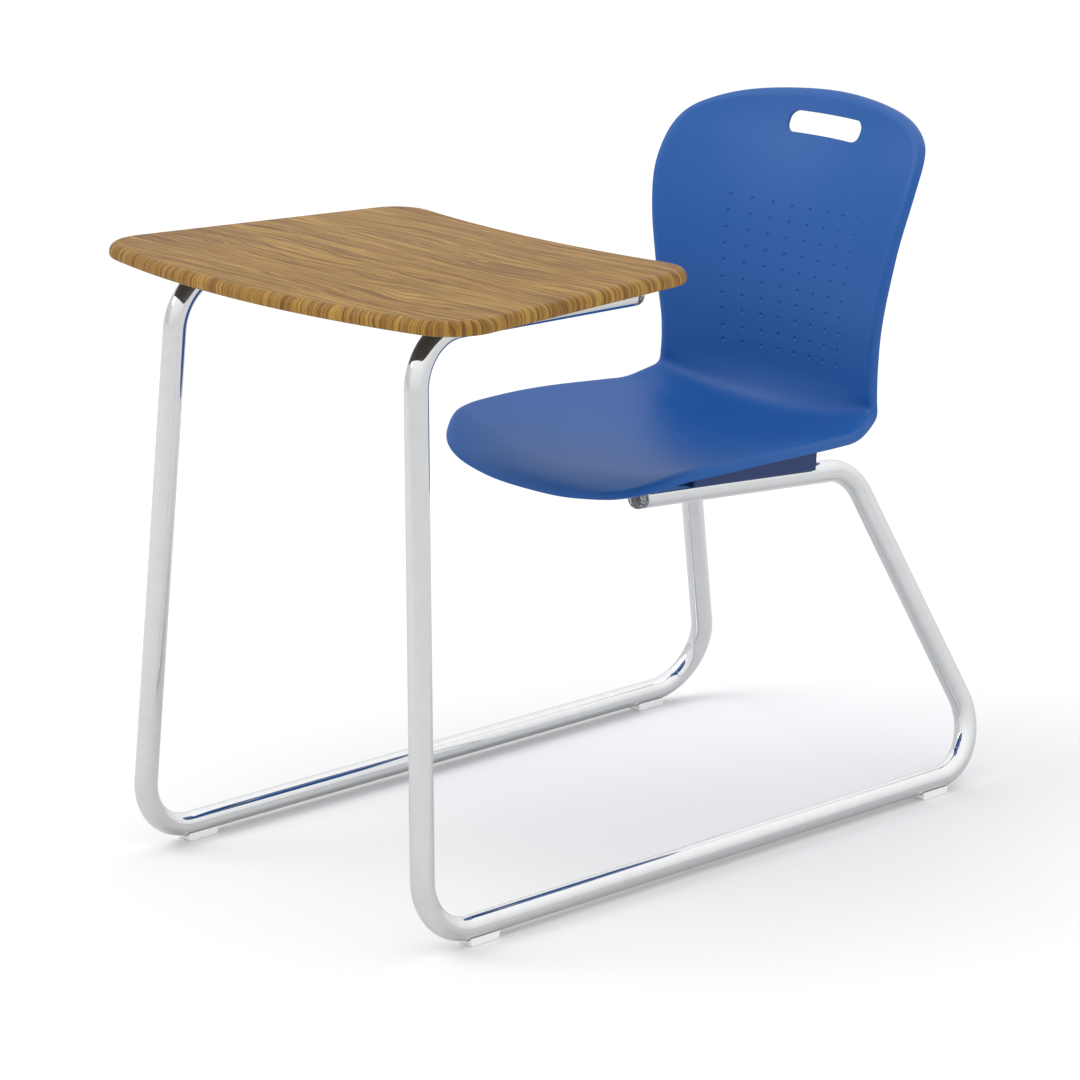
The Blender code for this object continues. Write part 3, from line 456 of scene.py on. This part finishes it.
def filled_grid(loop):
    """A Coons patch: rows of (across, along) that fill the loop, which starts at the front left corner."""
    columns, rows = SHELL_COLUMNS, SHELL_ROWS
    front = loop[: columns + 1]
    right = loop[columns : columns + rows + 1]
    top = loop[columns + rows : 2 * columns + rows + 1][::-1]
    left = np.vstack([loop[2 * columns + rows :], loop[:1]])[::-1]
    grid = np.empty((rows + 1, columns + 1, 2))
    for row in range(rows + 1):
        for column in range(columns + 1):
            v, u = row / rows, column / columns
            edges = (1 - v) * front[column] + v * top[column] + (1 - u) * left[row] + u * right[row]
            ends = (1 - v) * ((1 - u) * front[0] + u * front[-1]) + v * ((1 - u) * top[0] + u * top[-1])
            grid[row, column] = edges - ends
    return grid


def grid_loop_indices():
    """Vertex numbers of the grid's edge, in the outline's order."""
    columns, rows, width = SHELL_COLUMNS, SHELL_ROWS, SHELL_COLUMNS + 1
    loop = list(range(columns))
    loop += [row * width + columns for row in range(rows)]
    loop += [rows * width + column for column in range(columns, 0, -1)]
    loop += [row * width for row in range(rows, 0, -1)]
    return loop


def band(loop, following):
    """Faces between two loops of the same length."""
    count = len(loop)
    return [
        (loop[i], loop[(i + 1) % count], following[(i + 1) % count], following[i]) for i in range(count)
    ]


# --- Materials ---------------------------------------------------------------------------------------


class Nodes:
    """Builds one Principled material node by node."""

    def __init__(self, name, roughness, metallic=0.0, colour=None, **inputs):
        self.material = bpy.data.materials.new(name)
        self.material.use_nodes = True
        self.tree = self.material.node_tree
        self.shader = self.tree.nodes["Principled BSDF"]
        self.shader.inputs["Roughness"].default_value = roughness
        self.shader.inputs["Metallic"].default_value = metallic
        if colour:
            self.shader.inputs["Base Color"].default_value = (*colour, 1.0)
            self.material.diffuse_color = (*colour, 1.0)
        for key, value in inputs.items():
            self.shader.inputs[key.replace("_", " ")].default_value = value

    def node(self, kind, **values):
        made = self.tree.nodes.new(kind)
        for key, value in values.items():
            if key in made.inputs:
                made.inputs[key].default_value = value
            else:
                setattr(made, key, value)
        return made

    def link(self, source, target):
        self.tree.links.new(source, target)

    def coordinates(self, scale, source="Object"):
        place = self.node("ShaderNodeTexCoord")
        mapping = self.node("ShaderNodeMapping", Scale=scale)
        self.link(place.outputs[source], mapping.inputs["Vector"])
        return mapping.outputs["Vector"]

    def noise(self, vector, scale, detail=4.0, roughness=0.55, distortion=0.0):
        made = self.node(
            "ShaderNodeTexNoise", Scale=scale, Detail=detail, Roughness=roughness, Distortion=distortion
        )
        self.link(vector, made.inputs["Vector"])
        return made.outputs["Fac"]

    def ramp(self, value, stops):
        made = self.node("ShaderNodeValToRGB")
        ramp = made.color_ramp
        while len(ramp.elements) < len(stops):
            ramp.elements.new(0.5)
        for element, (position, colour) in zip(ramp.elements, stops):
            element.position = position
            element.color = (*colour, 1.0)
        self.link(value, made.inputs["Fac"])
        return made.outputs["Color"]

    def mix(self, share, a, b):
        made = self.node("ShaderNodeMix", data_type="RGBA")
        made.inputs[0].default_value = share
        self.link(a, made.inputs[6])
        self.link(b, made.inputs[7])
        return made.outputs[2]

    def ranged(self, value, low, high):
        made = self.node("ShaderNodeMapRange", **{"To Min": low, "To Max": high})
        self.link(value, made.inputs["Value"])
        return made.outputs["Result"]

    def bump(self, height, strength, distance):
        made = self.node("ShaderNodeBump", Strength=strength, Distance=distance)
        self.link(height, made.inputs["Height"])
        self.link(made.outputs["Normal"], self.shader.inputs["Normal"])

    def paint(self, colour):
        self.link(colour, self.shader.inputs["Base Color"])


def speckled(name, dark, light, scale, roughness, spread, bump, metallic=0.0, **inputs):
    """A material with a fine procedural mottle in its colour, its roughness and its relief."""
    made = Nodes(name, roughness, metallic, light, **inputs)
    vector = made.coordinates((1.0, 1.0, 1.0))
    fine = made.noise(vector, scale)
    made.paint(made.ramp(fine, ((MOTTLE_FROM, dark), (MOTTLE_TO, light))))
    made.link(made.ranged(fine, roughness - spread, roughness + spread), made.shader.inputs["Roughness"])
    if bump:
        made.bump(fine, bump, MOTTLE_RELIEF)
    return made.material


def oak():
    """Printed oak laminate: fibres along U, with growth lines across V that drift and part."""
    made = Nodes("oak_laminate", 0.5, colour=WOOD_MID, Specular_IOR_Level=0.2)
    drift = made.noise(made.coordinates(DRIFT_SCALE, "UV"), 1.0, detail=3.0, roughness=0.5)
    place = made.coordinates((1.0, 1.0, 1.0), "UV")
    push = made.node("ShaderNodeCombineXYZ")
    made.link(made.ranged(drift, -GRAIN_DRIFT, GRAIN_DRIFT), push.inputs["Y"])
    moved = made.node("ShaderNodeVectorMath", operation="ADD")
    made.link(place, moved.inputs[0])
    made.link(push.outputs["Vector"], moved.inputs[1])

    def stretched(scale):
        mapping = made.node("ShaderNodeMapping", Scale=scale)
        made.link(moved.outputs["Vector"], mapping.inputs["Vector"])
        return mapping.outputs["Vector"]

    growth = made.noise(stretched(GROWTH_SCALE), 1.0, roughness=0.62, distortion=0.22)
    lines = made.noise(stretched(LINE_SCALE), 1.0, roughness=0.66, distortion=0.12)
    fibres = made.noise(stretched(FIBRE_SCALE), 1.0, detail=3.0, roughness=0.6)
    broad = made.ramp(growth, ((0.40, WOOD_DARK), (0.49, WOOD_MID), (0.58, WOOD_LIGHT)))
    narrow = made.ramp(lines, ((0.44, WOOD_PORE), (0.50, WOOD_MID), (0.55, WOOD_LIGHT)))
    fine = made.ramp(fibres, ((0.40, WOOD_PORE), (0.55, WOOD_LIGHT)))
    made.paint(made.mix(FIBRE_SHARE, made.mix(LINE_SHARE, broad, narrow), fine))
    made.bump(lines, 0.06, GRAIN_RELIEF)
    return made.material


def painted_shade_underside():
    """The underside of the writing top, coloured as dark as it looks in the shade under the top: painted
    shade.
    """
    return speckled("underside_painted_shade", BACKING_PAINTED_SHADE_DARK, BACKING_PAINTED_SHADE_LIGHT, 420.0, 0.55, spread=0.05, bump=0.1)


# --- Pieces ------------------------------------------------------------------------------------------


def piece(name, vertices, faces, finishes, slot, nodes, angle=SMOOTH):
    """A visible piece on the one rigid body in place of CAD nodes, or with no slot a helper body."""
    mesh = bpy.data.meshes.new(name)
    mesh.from_pydata([tuple(map(float, vertex)) for vertex in vertices], [], faces)
    for finish in finishes:
        mesh.materials.append(finish)
    tidy_mesh(mesh, angle)
    obj = bpy.data.objects.new(name, mesh)
    bpy.context.scene.collection.objects.link(obj)
    if slot:
        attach(obj, "root")
        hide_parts(*nodes)
    return obj


def tidy_mesh(mesh, angle):
    shape = bmesh.new()
    shape.from_mesh(mesh)
    bmesh.ops.recalc_face_normals(shape, faces=shape.faces)
    shape.to_mesh(mesh)
    shape.free()
    mesh.shade_smooth()
    mesh.set_sharp_from_angle(angle=math.radians(angle))


def loft_faces(ring_count, ring_size, looped=False):
    faces = []
    for ring in range(ring_count if looped else ring_count - 1):
        here, beside = ring * ring_size, (ring + 1) % ring_count * ring_size
        for point in range(ring_size):
            after = (point + 1) % ring_size
            faces.append((here + point, here + after, beside + after, beside + point))
    if not looped:
        last = (ring_count - 1) * ring_size
        faces.append(tuple(range(ring_size)))
        faces.append(tuple(range(last, last + ring_size)))
    return faces


def turned(profile, sides, place, axis, hollow=False):
    """Vertices and faces of a (radius, height) profile turned about the axis through the place."""
    turn = Vector(axis).to_track_quat("Z", "Y")
    place = Vector(place)
    vertices = []
    for radius, height in profile:
        for side in range(sides):
            angle = 2 * math.pi * side / sides
            local = Vector((radius * math.cos(angle), radius * math.sin(angle), height))
            vertices.append(place + turn @ local)
    return vertices, loft_faces(len(profile), sides, hollow)


def cut(obj, vertices, faces, angle):
    """Cuts a helper body from the piece and bakes the result into its mesh."""
    helper = piece("cutter", vertices, faces, (), None, ())
    boolean = obj.modifiers.new("cut", "BOOLEAN")
    boolean.object = helper
    boolean.solver = "EXACT"
    bpy.context.view_layer.update()
    evaluated = obj.evaluated_get(bpy.context.evaluated_depsgraph_get())
    mesh = bpy.data.meshes.new_from_object(evaluated)
    obj.modifiers.clear()
    obj.data = mesh
    bpy.data.objects.remove(helper, do_unlink=True)
    tidy_mesh(mesh, angle)


def arc(radius, start, end, steps, centre=(0.0, 0.0)):
    """Points of an arc of (radius, height), with angles in degrees."""
    angles = [math.radians(start + (end - start) * step / steps) for step in range(steps + 1)]
    return [(centre[0] + radius * math.cos(a), centre[1] + radius * math.sin(a)) for a in angles]


# --- Frame -------------------------------------------------------------------------------------------


def chrome_tube(side, side_name, finish):
    path = bent_path(tube_corners(side), BEND_RADII)
    frames = ring_frames(path)
    turns = [2 * math.pi * step / TUBE_SIDES for step in range(TUBE_SIDES)]

    def skin(radius):
        return [
            [point + radius * (math.cos(turn) * across + math.sin(turn) * up) for turn in turns]
            for point, (across, up) in zip(path, frames)
        ]

    rings = skin(TUBE_RADIUS) + skin(TUBE_RADIUS - TUBE_WALL)[::-1]
    vertices = [point for ring in rings for point in ring]
    node = f"frame_tube_{side_name}"
    faces = loft_faces(len(rings), TUBE_SIDES, True)
    return piece(f"chrome_tube_{side_name}", vertices, faces, (finish,), "chrome_tube", (node,))


def clear_cap(name, place, axis, finish):
    """A clear plug with a ribbed shank and a soft domed head."""
    bore = TUBE_RADIUS - TUBE_WALL - GAP
    neck = bore - CAP_RIB_HEIGHT
    profile = [(neck - CAP_TIP_BEVEL, -CAP_SHANK), (neck, -CAP_SHANK + CAP_TIP_BEVEL)]
    for rib in range(CAP_RIBS):
        low = -CAP_SHANK + CAP_RIB_START + CAP_RIB_PITCH * rib
        for stretches, radius in enumerate((neck, bore, bore, neck)):
            profile.append((radius, low + CAP_RIB_STRETCH * stretches))
    profile.append((neck, GAP))
    brim = (TUBE_RADIUS - CAP_BRIM_ROUND, GAP + CAP_BRIM_ROUND)
    profile += arc(CAP_BRIM_ROUND, -90, 0, CAP_BRIM_STEPS, brim)
    profile += arc(CAP_DOME, 0, 90, CAP_DOME_STEPS, (TUBE_RADIUS - CAP_DOME, CAP_HEAD - CAP_DOME))
    vertices, faces = turned(profile, CAP_SIDES, place, axis)
    return piece(f"clear_{name}", vertices, faces, (finish,), "clear_cap", (name,))


def glide(name, side, y, finish):
    """A nylon foot: a pad with rounded ends under the tube, and a groove that hugs it."""
    groove = TUBE_RADIUS + 2 * GAP
    side_z = GLIDE_SIDE_TOP - RUNNER_Z
    lip = math.acos(side_z / -groove)
    inner = [
        (groove * math.cos(a), groove * math.sin(a))
        for a in (
            math.radians(-90) + lip * (2 * step / GLIDE_GROOVE_STEPS - 1)
            for step in range(GLIDE_GROOVE_STEPS + 1)
        )
    ]
    rings = []
    half_length = GLIDE_LENGTH / 2
    ends = [(-half_length + back, rise) for back, rise in glide_end()]
    ends += [(-offset, rise) for offset, rise in reversed(ends)]
    for offset, rise in ends:
        low = -RUNNER_Z + rise
        wide = GLIDE_HALF_WIDTH - rise / GLIDE_END_TAPER
        corner = min(GLIDE_CORNER, (side_z - low) * GLIDE_CORNER_SHARE)
        lower = arc(corner, 0, -90, GLIDE_CORNER_STEPS, (wide - corner, low + corner))
        outer = [(wide, side_z)] + lower
        outer += [(-x, z) for x, z in reversed(outer)]
        rings.append([(side * RUNNER_X + x, y + offset, RUNNER_Z + z) for x, z in outer + inner])
    vertices = [point for ring in rings for point in ring]
    faces = loft_faces(len(rings), len(rings[0]))
    return piece(f"nylon_{name}", vertices, faces, (finish,), "white_glide", (name,), GLIDE_SMOOTH)


def glide_end():
    """(distance in, rise of the sole) along the rounded end of a foot."""
    return [
        (GLIDE_BEVEL * (1 - math.cos(a)), GLIDE_BEVEL * (1 - math.sin(a)))
        for a in (math.pi / 2 * step / GLIDE_END_STEPS for step in range(GLIDE_END_STEPS + 1))
    ]


# --- Writing top -------------------------------------------------------------------------------------


def top_edge():
    """(distance in from the plan's outline, height over the underside) up the rounded edge."""
    edge = []
    for radius, height, steps, upper in (
        (TOP_LOWER_ROUND, TOP_LOWER_ROUND, TOP_LOWER_STEPS, False),
        (TOP_UPPER_ROUND, TOP_THICKNESS - TOP_UPPER_ROUND, TOP_UPPER_STEPS, True),
    ):
        for step in range(steps + 1):
            angle = math.pi / 2 * (step / steps - (0 if upper else 1))
            edge.append((radius * (1 - math.cos(angle)), height + radius * math.sin(angle)))
    return edge


def writing_top(finishes):
    """A slab with a rounded edge, tilted with the desk tubes that it lies on."""
    outline, edge = top_outline(), top_edge()
    slope = math.atan(DESK_SLOPE)
    vertices = []
    for distance, z in edge:
        up = TUBE_RADIUS + GAP + z
        for x, y in inset(outline, distance):
            back = y - DESK_TUBE_FRONT_Y
            world_y = DESK_TUBE_FRONT_Y + back * math.cos(slope) - up * math.sin(slope)
            world_z = DESK_TUBE_FRONT_Z + back * math.sin(slope) + up * math.cos(slope)
            vertices.append((x, world_y, world_z))
    faces = loft_faces(len(edge), len(outline))
    made = piece("oak_writing_top", vertices, faces, finishes, "oak_top", ("desktop",), TOP_SMOOTH)
    lay_grain(made.data, outline, edge)
    return made


def lay_grain(mesh, outline, edge):
    """The upper face carries the grain along X, and the rounded edge carries it on, downwards."""
    count = len(outline)
    half = count // 2
    drops = [0.0]
    for (inner, high), (outer, low) in zip(edge[::-1], edge[-2::-1]):
        drops.append(drops[-1] + math.hypot(outer - inner, low - high))
    drops = drops[::-1]
    along = lengths_along(outline[: half + 1])
    meeting = int(np.argmin(np.abs(outline[: half + 1, 1] - GRAIN_MEETS_Y)))
    shift = outline[meeting, 1] - along[meeting]
    grain = mesh.uv_layers.new(name="grain")
    for polygon in mesh.polygons:
        rim = len(polygon.vertices) == 4
        # Faces under the top take the second slot, whose dark colour is painted shade.
        polygon.material_index = 0 if rim or polygon.normal.z > 0 else 1
        for loop, vertex in zip(polygon.loop_indices, polygon.vertices):
            x, y, _ = mesh.vertices[vertex].co
            if rim:
                ring, place = divmod(vertex, count)
                length = along[place if place <= half else count - place]
                grain.data[loop].uv = (x + math.copysign(drops[ring], x), length + shift)
            else:
                grain.data[loop].uv = (x, y)


# --- Seat --------------------------------------------------------------------------------------------


def rolled_rim(shell, base, normals, radius, steps):
    """Rings that roll the surface over its rim, about a centre line below it, and then run straight down."""
    full = math.radians(90)
    start = math.radians(FRONT_ROLL)
    turn = start + (full - start) * ease(base[:, 1], *ROLL_GROWS)
    rings = []
    for step in range(1, steps + 1):
        angle = turn * step / steps
        flat = base + normals * (radius * np.sin(angle))[:, None]
        rings.append(shell.point(flat[:, 0], flat[:, 1], RIM_RADIUS - radius * np.cos(angle)))
    flat = base + normals * (radius * np.sin(turn) + RIM_DROP * np.cos(turn))[:, None]
    depth = RIM_RADIUS - radius * np.cos(turn) + RIM_DROP * np.sin(turn)
    rings.append(shell.point(flat[:, 0], flat[:, 1], depth))
    return rings


def slot_cutter(shell):
    """The carrying slot as a straight arched bar through the back, with round corners."""
    half, height = SLOT_HALF_LENGTH - SLOT_CORNER, SLOT_HEIGHT / 2 - SLOT_CORNER
    outline = []
    for quadrant, (x, z) in enumerate(((half, height), (-half, height), (-half, -height), (half, -height))):
        for step in range(SLOT_ARC_STEPS + 1):
            angle = math.pi / 2 * (quadrant + step / SLOT_ARC_STEPS)
            outline.append((x + SLOT_CORNER * math.cos(angle), z + SLOT_CORNER * math.sin(angle)))
        if quadrant in (0, 2):
            long_side = z + SLOT_CORNER * math.sin(angle)
            outline += [(x * share, long_side) for share in np.linspace(1.0, -1.0, SLOT_SIDE_STEPS + 1)[1:-1]]
    y, z, direction = shell.spine_at(np.array(SLOT_ALONG))
    middle, up = Vector((0.0, float(y), float(z))), Vector((0.0, *map(float, direction)))
    across = Vector((1.0, 0.0, 0.0))
    through = across.cross(up)
    vertices = [
        middle + across * x + up * (rise - SLOT_ARCH * x * x) + through * depth
        for depth in (-SLOT_CUT, SLOT_CUT)
        for x, rise in outline
    ]
    return vertices, loft_faces(2, len(outline))


def round_slot_lips(obj):
    """Rounds the edges where the carrying slot meets the two faces of the shell."""
    shape = bmesh.new()
    shape.from_mesh(obj.data)
    lips = []
    for edge in shape.edges:
        middle = (edge.verts[0].co + edge.verts[1].co) / 2
        near = abs(middle.x) < SLOT_HALF_LENGTH + SLOT_LIP_SLACK and SLOT_LOWEST < middle.z < SLOT_HIGHEST
        if near and len(edge.link_faces) == 2 and edge.calc_face_angle() > SLOT_LIP_ANGLE:
            lips.append(edge)
    bmesh.ops.bevel(
        shape,
        geom=lips,
        offset=SLOT_LIP,
        segments=SLOT_LIP_SEGMENTS,
        profile=0.5,
        affect="EDGES",
        clamp_overlap=True,
    )
    shape.to_mesh(obj.data)
    shape.free()
    tidy_mesh(obj.data, SHELL_SMOOTH)


def dimples(shell):
    """One body per dimple of the back: a ball that dips a little way into the sitter's side."""
    ball = (DIMPLE_RADIUS**2 + DIMPLE_DEPTH**2) / (2 * DIMPLE_DEPTH)
    spine = shell.spine
    vertices, faces = [], []
    back = spine[:, 1] > BACK_FROM_Z
    for row, height in enumerate(DIMPLE_ROWS):
        along = float(np.interp(height, spine[back, 1], shell.lengths[back]))
        pitch = DIMPLE_PITCH[0] + (DIMPLE_PITCH[1] - DIMPLE_PITCH[0]) * row / (len(DIMPLE_ROWS) - 1)
        for column in range(DIMPLE_COLUMNS):
            x = (column - (DIMPLE_COLUMNS - 1) / 2) * pitch
            here = shell.point(np.array([x]), np.array([along]))[0]
            side = shell.point(np.array([x + PROBE]), np.array([along]))[0] - here
            up = shell.point(np.array([x]), np.array([along + PROBE]))[0] - here
            normal = Vector(np.cross(side, up)).normalized()
            if normal.y > 0:
                normal = -normal
            centre = Vector(here) + normal * (ball - DIMPLE_DEPTH)
            profile = arc(ball, -DIMPLE_BALL_END, DIMPLE_BALL_END, DIMPLE_BALL_STEPS)
            points, loops = turned(profile, DIMPLE_SIDES, centre, normal)
            start = len(vertices)
            vertices += points
            faces += [tuple(start + index for index in loop) for loop in loops]
    return vertices, faces


def seat(shell, finish):
    outline = shell_outline()
    normals = outward(outline)
    base = outline - normals * RIM_RADIUS
    grid = filled_grid(base)
    columns, rows, width = SHELL_COLUMNS, SHELL_ROWS, SHELL_COLUMNS + 1
    vertices, faces, edges = [], [], []
    for depth, radius in ((0.0, RIM_RADIUS), (SHELL_THICKNESS, RIM_RADIUS - SHELL_THICKNESS)):
        start = len(vertices)
        surface = shell.point(grid[..., 0], grid[..., 1], depth)
        vertices += list(surface.reshape(-1, 3))
        for row in range(rows):
            for column in range(columns):
                corner = start + row * width + column
                faces.append((corner, corner + 1, corner + 1 + width, corner + width))
        loop = [start + index for index in grid_loop_indices()]
        for ring in rolled_rim(shell, base, normals, radius, RIM_STEPS):
            following = list(range(len(vertices), len(vertices) + len(ring)))
            vertices += list(ring)
            faces += band(loop, following)
            loop = following
        edges.append(loop)
    faces += band(*edges)
    made = piece("moulded_shell", vertices, faces, (finish,), "blue_shell", ("seat_shell",))
    cut(made, *slot_cutter(shell), SHELL_SMOOTH)
    round_slot_lips(made)
    cut(made, *dimples(shell), SHELL_SMOOTH)
    return made


def over_seat_tube(y, z):
    """World (y, z) of a place this far behind the seat tube's rear corner and this far over its axis."""
    slope = math.atan(SEAT_SLOPE)
    return (
        SEAT_TUBE_REAR_Y + y * math.cos(slope) - z * math.sin(slope),
        SEAT_TUBE_REAR_Z + y * math.sin(slope) + z * math.cos(slope),
    )


def wedge_top(shell, x, y, z):
    """Height over the seat tube's axis of the wedge's upper face, which follows the shell."""
    slope = math.atan(SEAT_SLOPE)
    for _ in range(FITTING_ROUNDS):
        under = shell.underside_z(x, over_seat_tube(y, z)[0], SHELL_THICKNESS + WEDGE_CLEARANCE)
        z = (under - SEAT_TUBE_REAR_Z - y * math.sin(slope)) / math.cos(slope)
    return z


def wedge(side, side_name, shell, finish):
    """The moulded wedge between a seat tube and the shell, with softened edges."""
    groove = TUBE_RADIUS + 2 * GAP
    turns = [1 - 2 * step / SADDLE_STEPS for step in range(SADDLE_STEPS + 1)]
    angles = [math.radians(90 + SADDLE_HALF_ANGLE * turn) for turn in turns]
    middle = side * SEAT_TUBE_X
    saddle = [(middle + groove * math.cos(a), groove * math.sin(a)) for a in angles]
    foot = saddle[0][1]
    rings = []
    for step in range(WEDGE_STEPS + 1):
        y = WEDGE_FRONT_Y + (WEDGE_REAR_Y - WEDGE_FRONT_Y) * step / WEDGE_STEPS - SEAT_TUBE_REAR_Y
        columns = [middle + share * WEDGE_HALF_WIDTH for share in np.linspace(1.0, -1.0, WEDGE_COLUMNS)]
        upper = [(x, wedge_top(shell, x, y, groove)) for x in columns]
        profile = saddle + [(columns[0], foot)] + upper + [(columns[-1], foot)]
        rings.append([(x, *over_seat_tube(y, z)) for x, z in profile])
    vertices = [point for ring in rings for point in ring]
    faces = loft_faces(len(rings), len(rings[0]))
    nodes = (f"seat_mount_{side_name}",)
    made = piece(f"seat_wedge_{side_name}", vertices, faces, (finish,), "blue_mount", nodes)
    soften(made, WEDGE_SOFTNESS)
    return made


def soften(obj, width):
    bevel = obj.modifiers.new("soft_edges", "BEVEL")
    bevel.width = width
    bevel.segments = SOFT_SEGMENTS
    bevel.limit_method = "ANGLE"
    bevel.angle_limit = SOFT_ANGLE
    bevel.harden_normals = False


def dress_hardware(finish):
    """The hidden steel pieces keep their CAD shape and take a plated finish; the desk plates also get
    softened edges.
    """
    for name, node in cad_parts.items():
        if not name.startswith(HARDWARE):
            continue
        node.data.materials.clear()
        node.data.materials.append(finish)
        if name.startswith("desk_plate"):
            soften(node, PLATE_SOFTNESS)


# --- Studio ------------------------------------------------------------------------------------------


def add_lamp(light, place):
    """Puts a light at a place, aimed at the middle of the object."""
    lamp = bpy.data.objects.new(light.name, light)
    bpy.context.scene.collection.objects.link(lamp)
    lamp.location = place
    lamp.rotation_euler = (Vector(AIM) - Vector(place)).to_track_quat("-Z", "Y").to_euler()


def pale_floor():
    bpy.ops.mesh.primitive_plane_add(size=FLOOR_SIZE, location=(0.0, 0.0, 0.0))
    floor = bpy.context.object
    floor.name = "floor"
    pale = Nodes("pale_floor", 0.9, colour=FLOOR_PALE, Specular_IOR_Level=0.1)
    ray = pale.node("ShaderNodeLightPath")
    pale.paint(pale.ramp(ray.outputs["Is Glossy Ray"], ((0.0, FLOOR_PALE), (1.0, FLOOR_IN_CHROME))))
    floor.data.materials.append(pale.material)


def sky():
    """A pale sky that brightens upwards, with a soft dark flag on one side for the chrome to reflect."""
    world = bpy.data.worlds.new("studio")
    bpy.context.scene.world = world
    world.use_nodes = True
    tree = world.node_tree

    def ramp(value, stops):
        made = tree.nodes.new("ShaderNodeValToRGB")
        for element, (position, colour) in zip(made.color_ramp.elements, stops):
            element.position = position
            element.color = (*colour, 1.0)
        tree.links.new(value, made.inputs["Fac"])
        return made.outputs["Color"]

    background = tree.nodes["Background"]
    background.inputs["Strength"].default_value = WORLD_STRENGTH
    place = tree.nodes.new("ShaderNodeTexCoord")
    split = tree.nodes.new("ShaderNodeSeparateXYZ")
    tree.links.new(place.outputs["Generated"], split.inputs["Vector"])
    height = ramp(split.outputs["Z"], ((0.0, SKY_LOW), (SKY_HIGH_FROM, SKY_HIGH)))
    facing = tree.nodes.new("ShaderNodeVectorMath")
    facing.operation = "DOT_PRODUCT"
    facing.inputs[1].default_value = FLAG_DIRECTION
    tree.links.new(place.outputs["Generated"], facing.inputs[0])
    flag = ramp(facing.outputs["Value"], ((FLAG_EDGE, WHITE), (FLAG_CORE, FLAG_SHADE)))
    product = tree.nodes.new("ShaderNodeMix")
    product.data_type = "RGBA"
    product.blend_type = "MULTIPLY"
    product.inputs[0].default_value = 1.0
    tree.links.new(height, product.inputs[6])
    tree.links.new(flag, product.inputs[7])
    tree.links.new(product.outputs[2], background.inputs["Color"])


def add_camera():
    camera = bpy.data.cameras.new("photo_camera")
    camera.lens = CAMERA_LENS
    camera.sensor_width = CAMERA_SENSOR
    camera.clip_end = CAMERA_REACH
    view = bpy.data.objects.new("photo_camera", camera)
    bpy.context.scene.collection.objects.link(view)
    view.location = CAMERA_PLACE
    view.rotation_euler = CAMERA_TURN
    bpy.context.scene.camera = view


def studio():
    bpy.context.scene.view_settings.view_transform = "Standard"
    pale_floor()
    sky()
    sun = bpy.data.lights.new("wide_sun", "SUN")
    sun.angle = SUN_ANGLE
    sun.energy = SUN_STRENGTH
    add_lamp(sun, SUN_PLACE)
    box = bpy.data.lights.new("soft_box", "AREA")
    box.size = SOFT_BOX_SIZE
    box.energy = SOFT_BOX_POWER
    add_lamp(box, SOFT_BOX_PLACE)
    add_camera()


def main():
    chrome = speckled(
        "bright_chrome", CHROME_DARK, CHROME_LIGHT, 55.0, 0.05, spread=0.015, bump=0.0, metallic=1.0
    )
    zinc = speckled("zinc_plate", ZINC_DARK, ZINC_LIGHT, 260.0, 0.36, spread=0.06, bump=0.1, metallic=1.0)
    blue = speckled(
        "blue_polypropylene",
        BLUE_DARK,
        BLUE_LIGHT,
        1500.0,
        0.48,
        spread=0.03,
        bump=0.18,
        Specular_IOR_Level=0.42,
    )
    # The wedges take the shell's blue darkened by painted shade.
    wedge_blue_painted_shade = speckled("wedge_polypropylene_painted_shade", WEDGE_PAINTED_SHADE_DARK, WEDGE_PAINTED_SHADE_LIGHT, 900.0, 0.5, spread=0.04, bump=0.2)
    nylon = speckled("white_nylon", NYLON_DARK, NYLON_LIGHT, 700.0, 0.4, spread=0.04, bump=0.1)
    clear = speckled(
        "clear_plastic",
        CLEAR_DARK,
        CLEAR_LIGHT,
        80.0,
        0.05,
        spread=0.015,
        bump=0.0,
        Transmission_Weight=0.92,
        IOR=1.4,
    )
    for side, side_name in SIDES:
        chrome_tube(side, side_name, chrome)
        corners = [Vector(corner) for corner in tube_corners(side)]
        clear_cap(f"desk_tube_cap_{side_name}", corners[0], corners[0] - corners[1], clear)
        clear_cap(f"seat_tube_cap_{side_name}", corners[-1], corners[-1] - corners[-2], clear)
        for end_name, y in (("front", GLIDE_FRONT_Y), ("rear", GLIDE_REAR_Y)):
            glide(f"runner_glide_{side_name}_{end_name}", side, y, nylon)
    writing_top((oak(), painted_shade_underside()))
    shell = Shell()
    seat(shell, blue)
    for side, side_name in SIDES:
        wedge(side, side_name, shell, wedge_blue_painted_shade)
    dress_hardware(zinc)
    studio()


main()
bpy.context.view_layer.update()
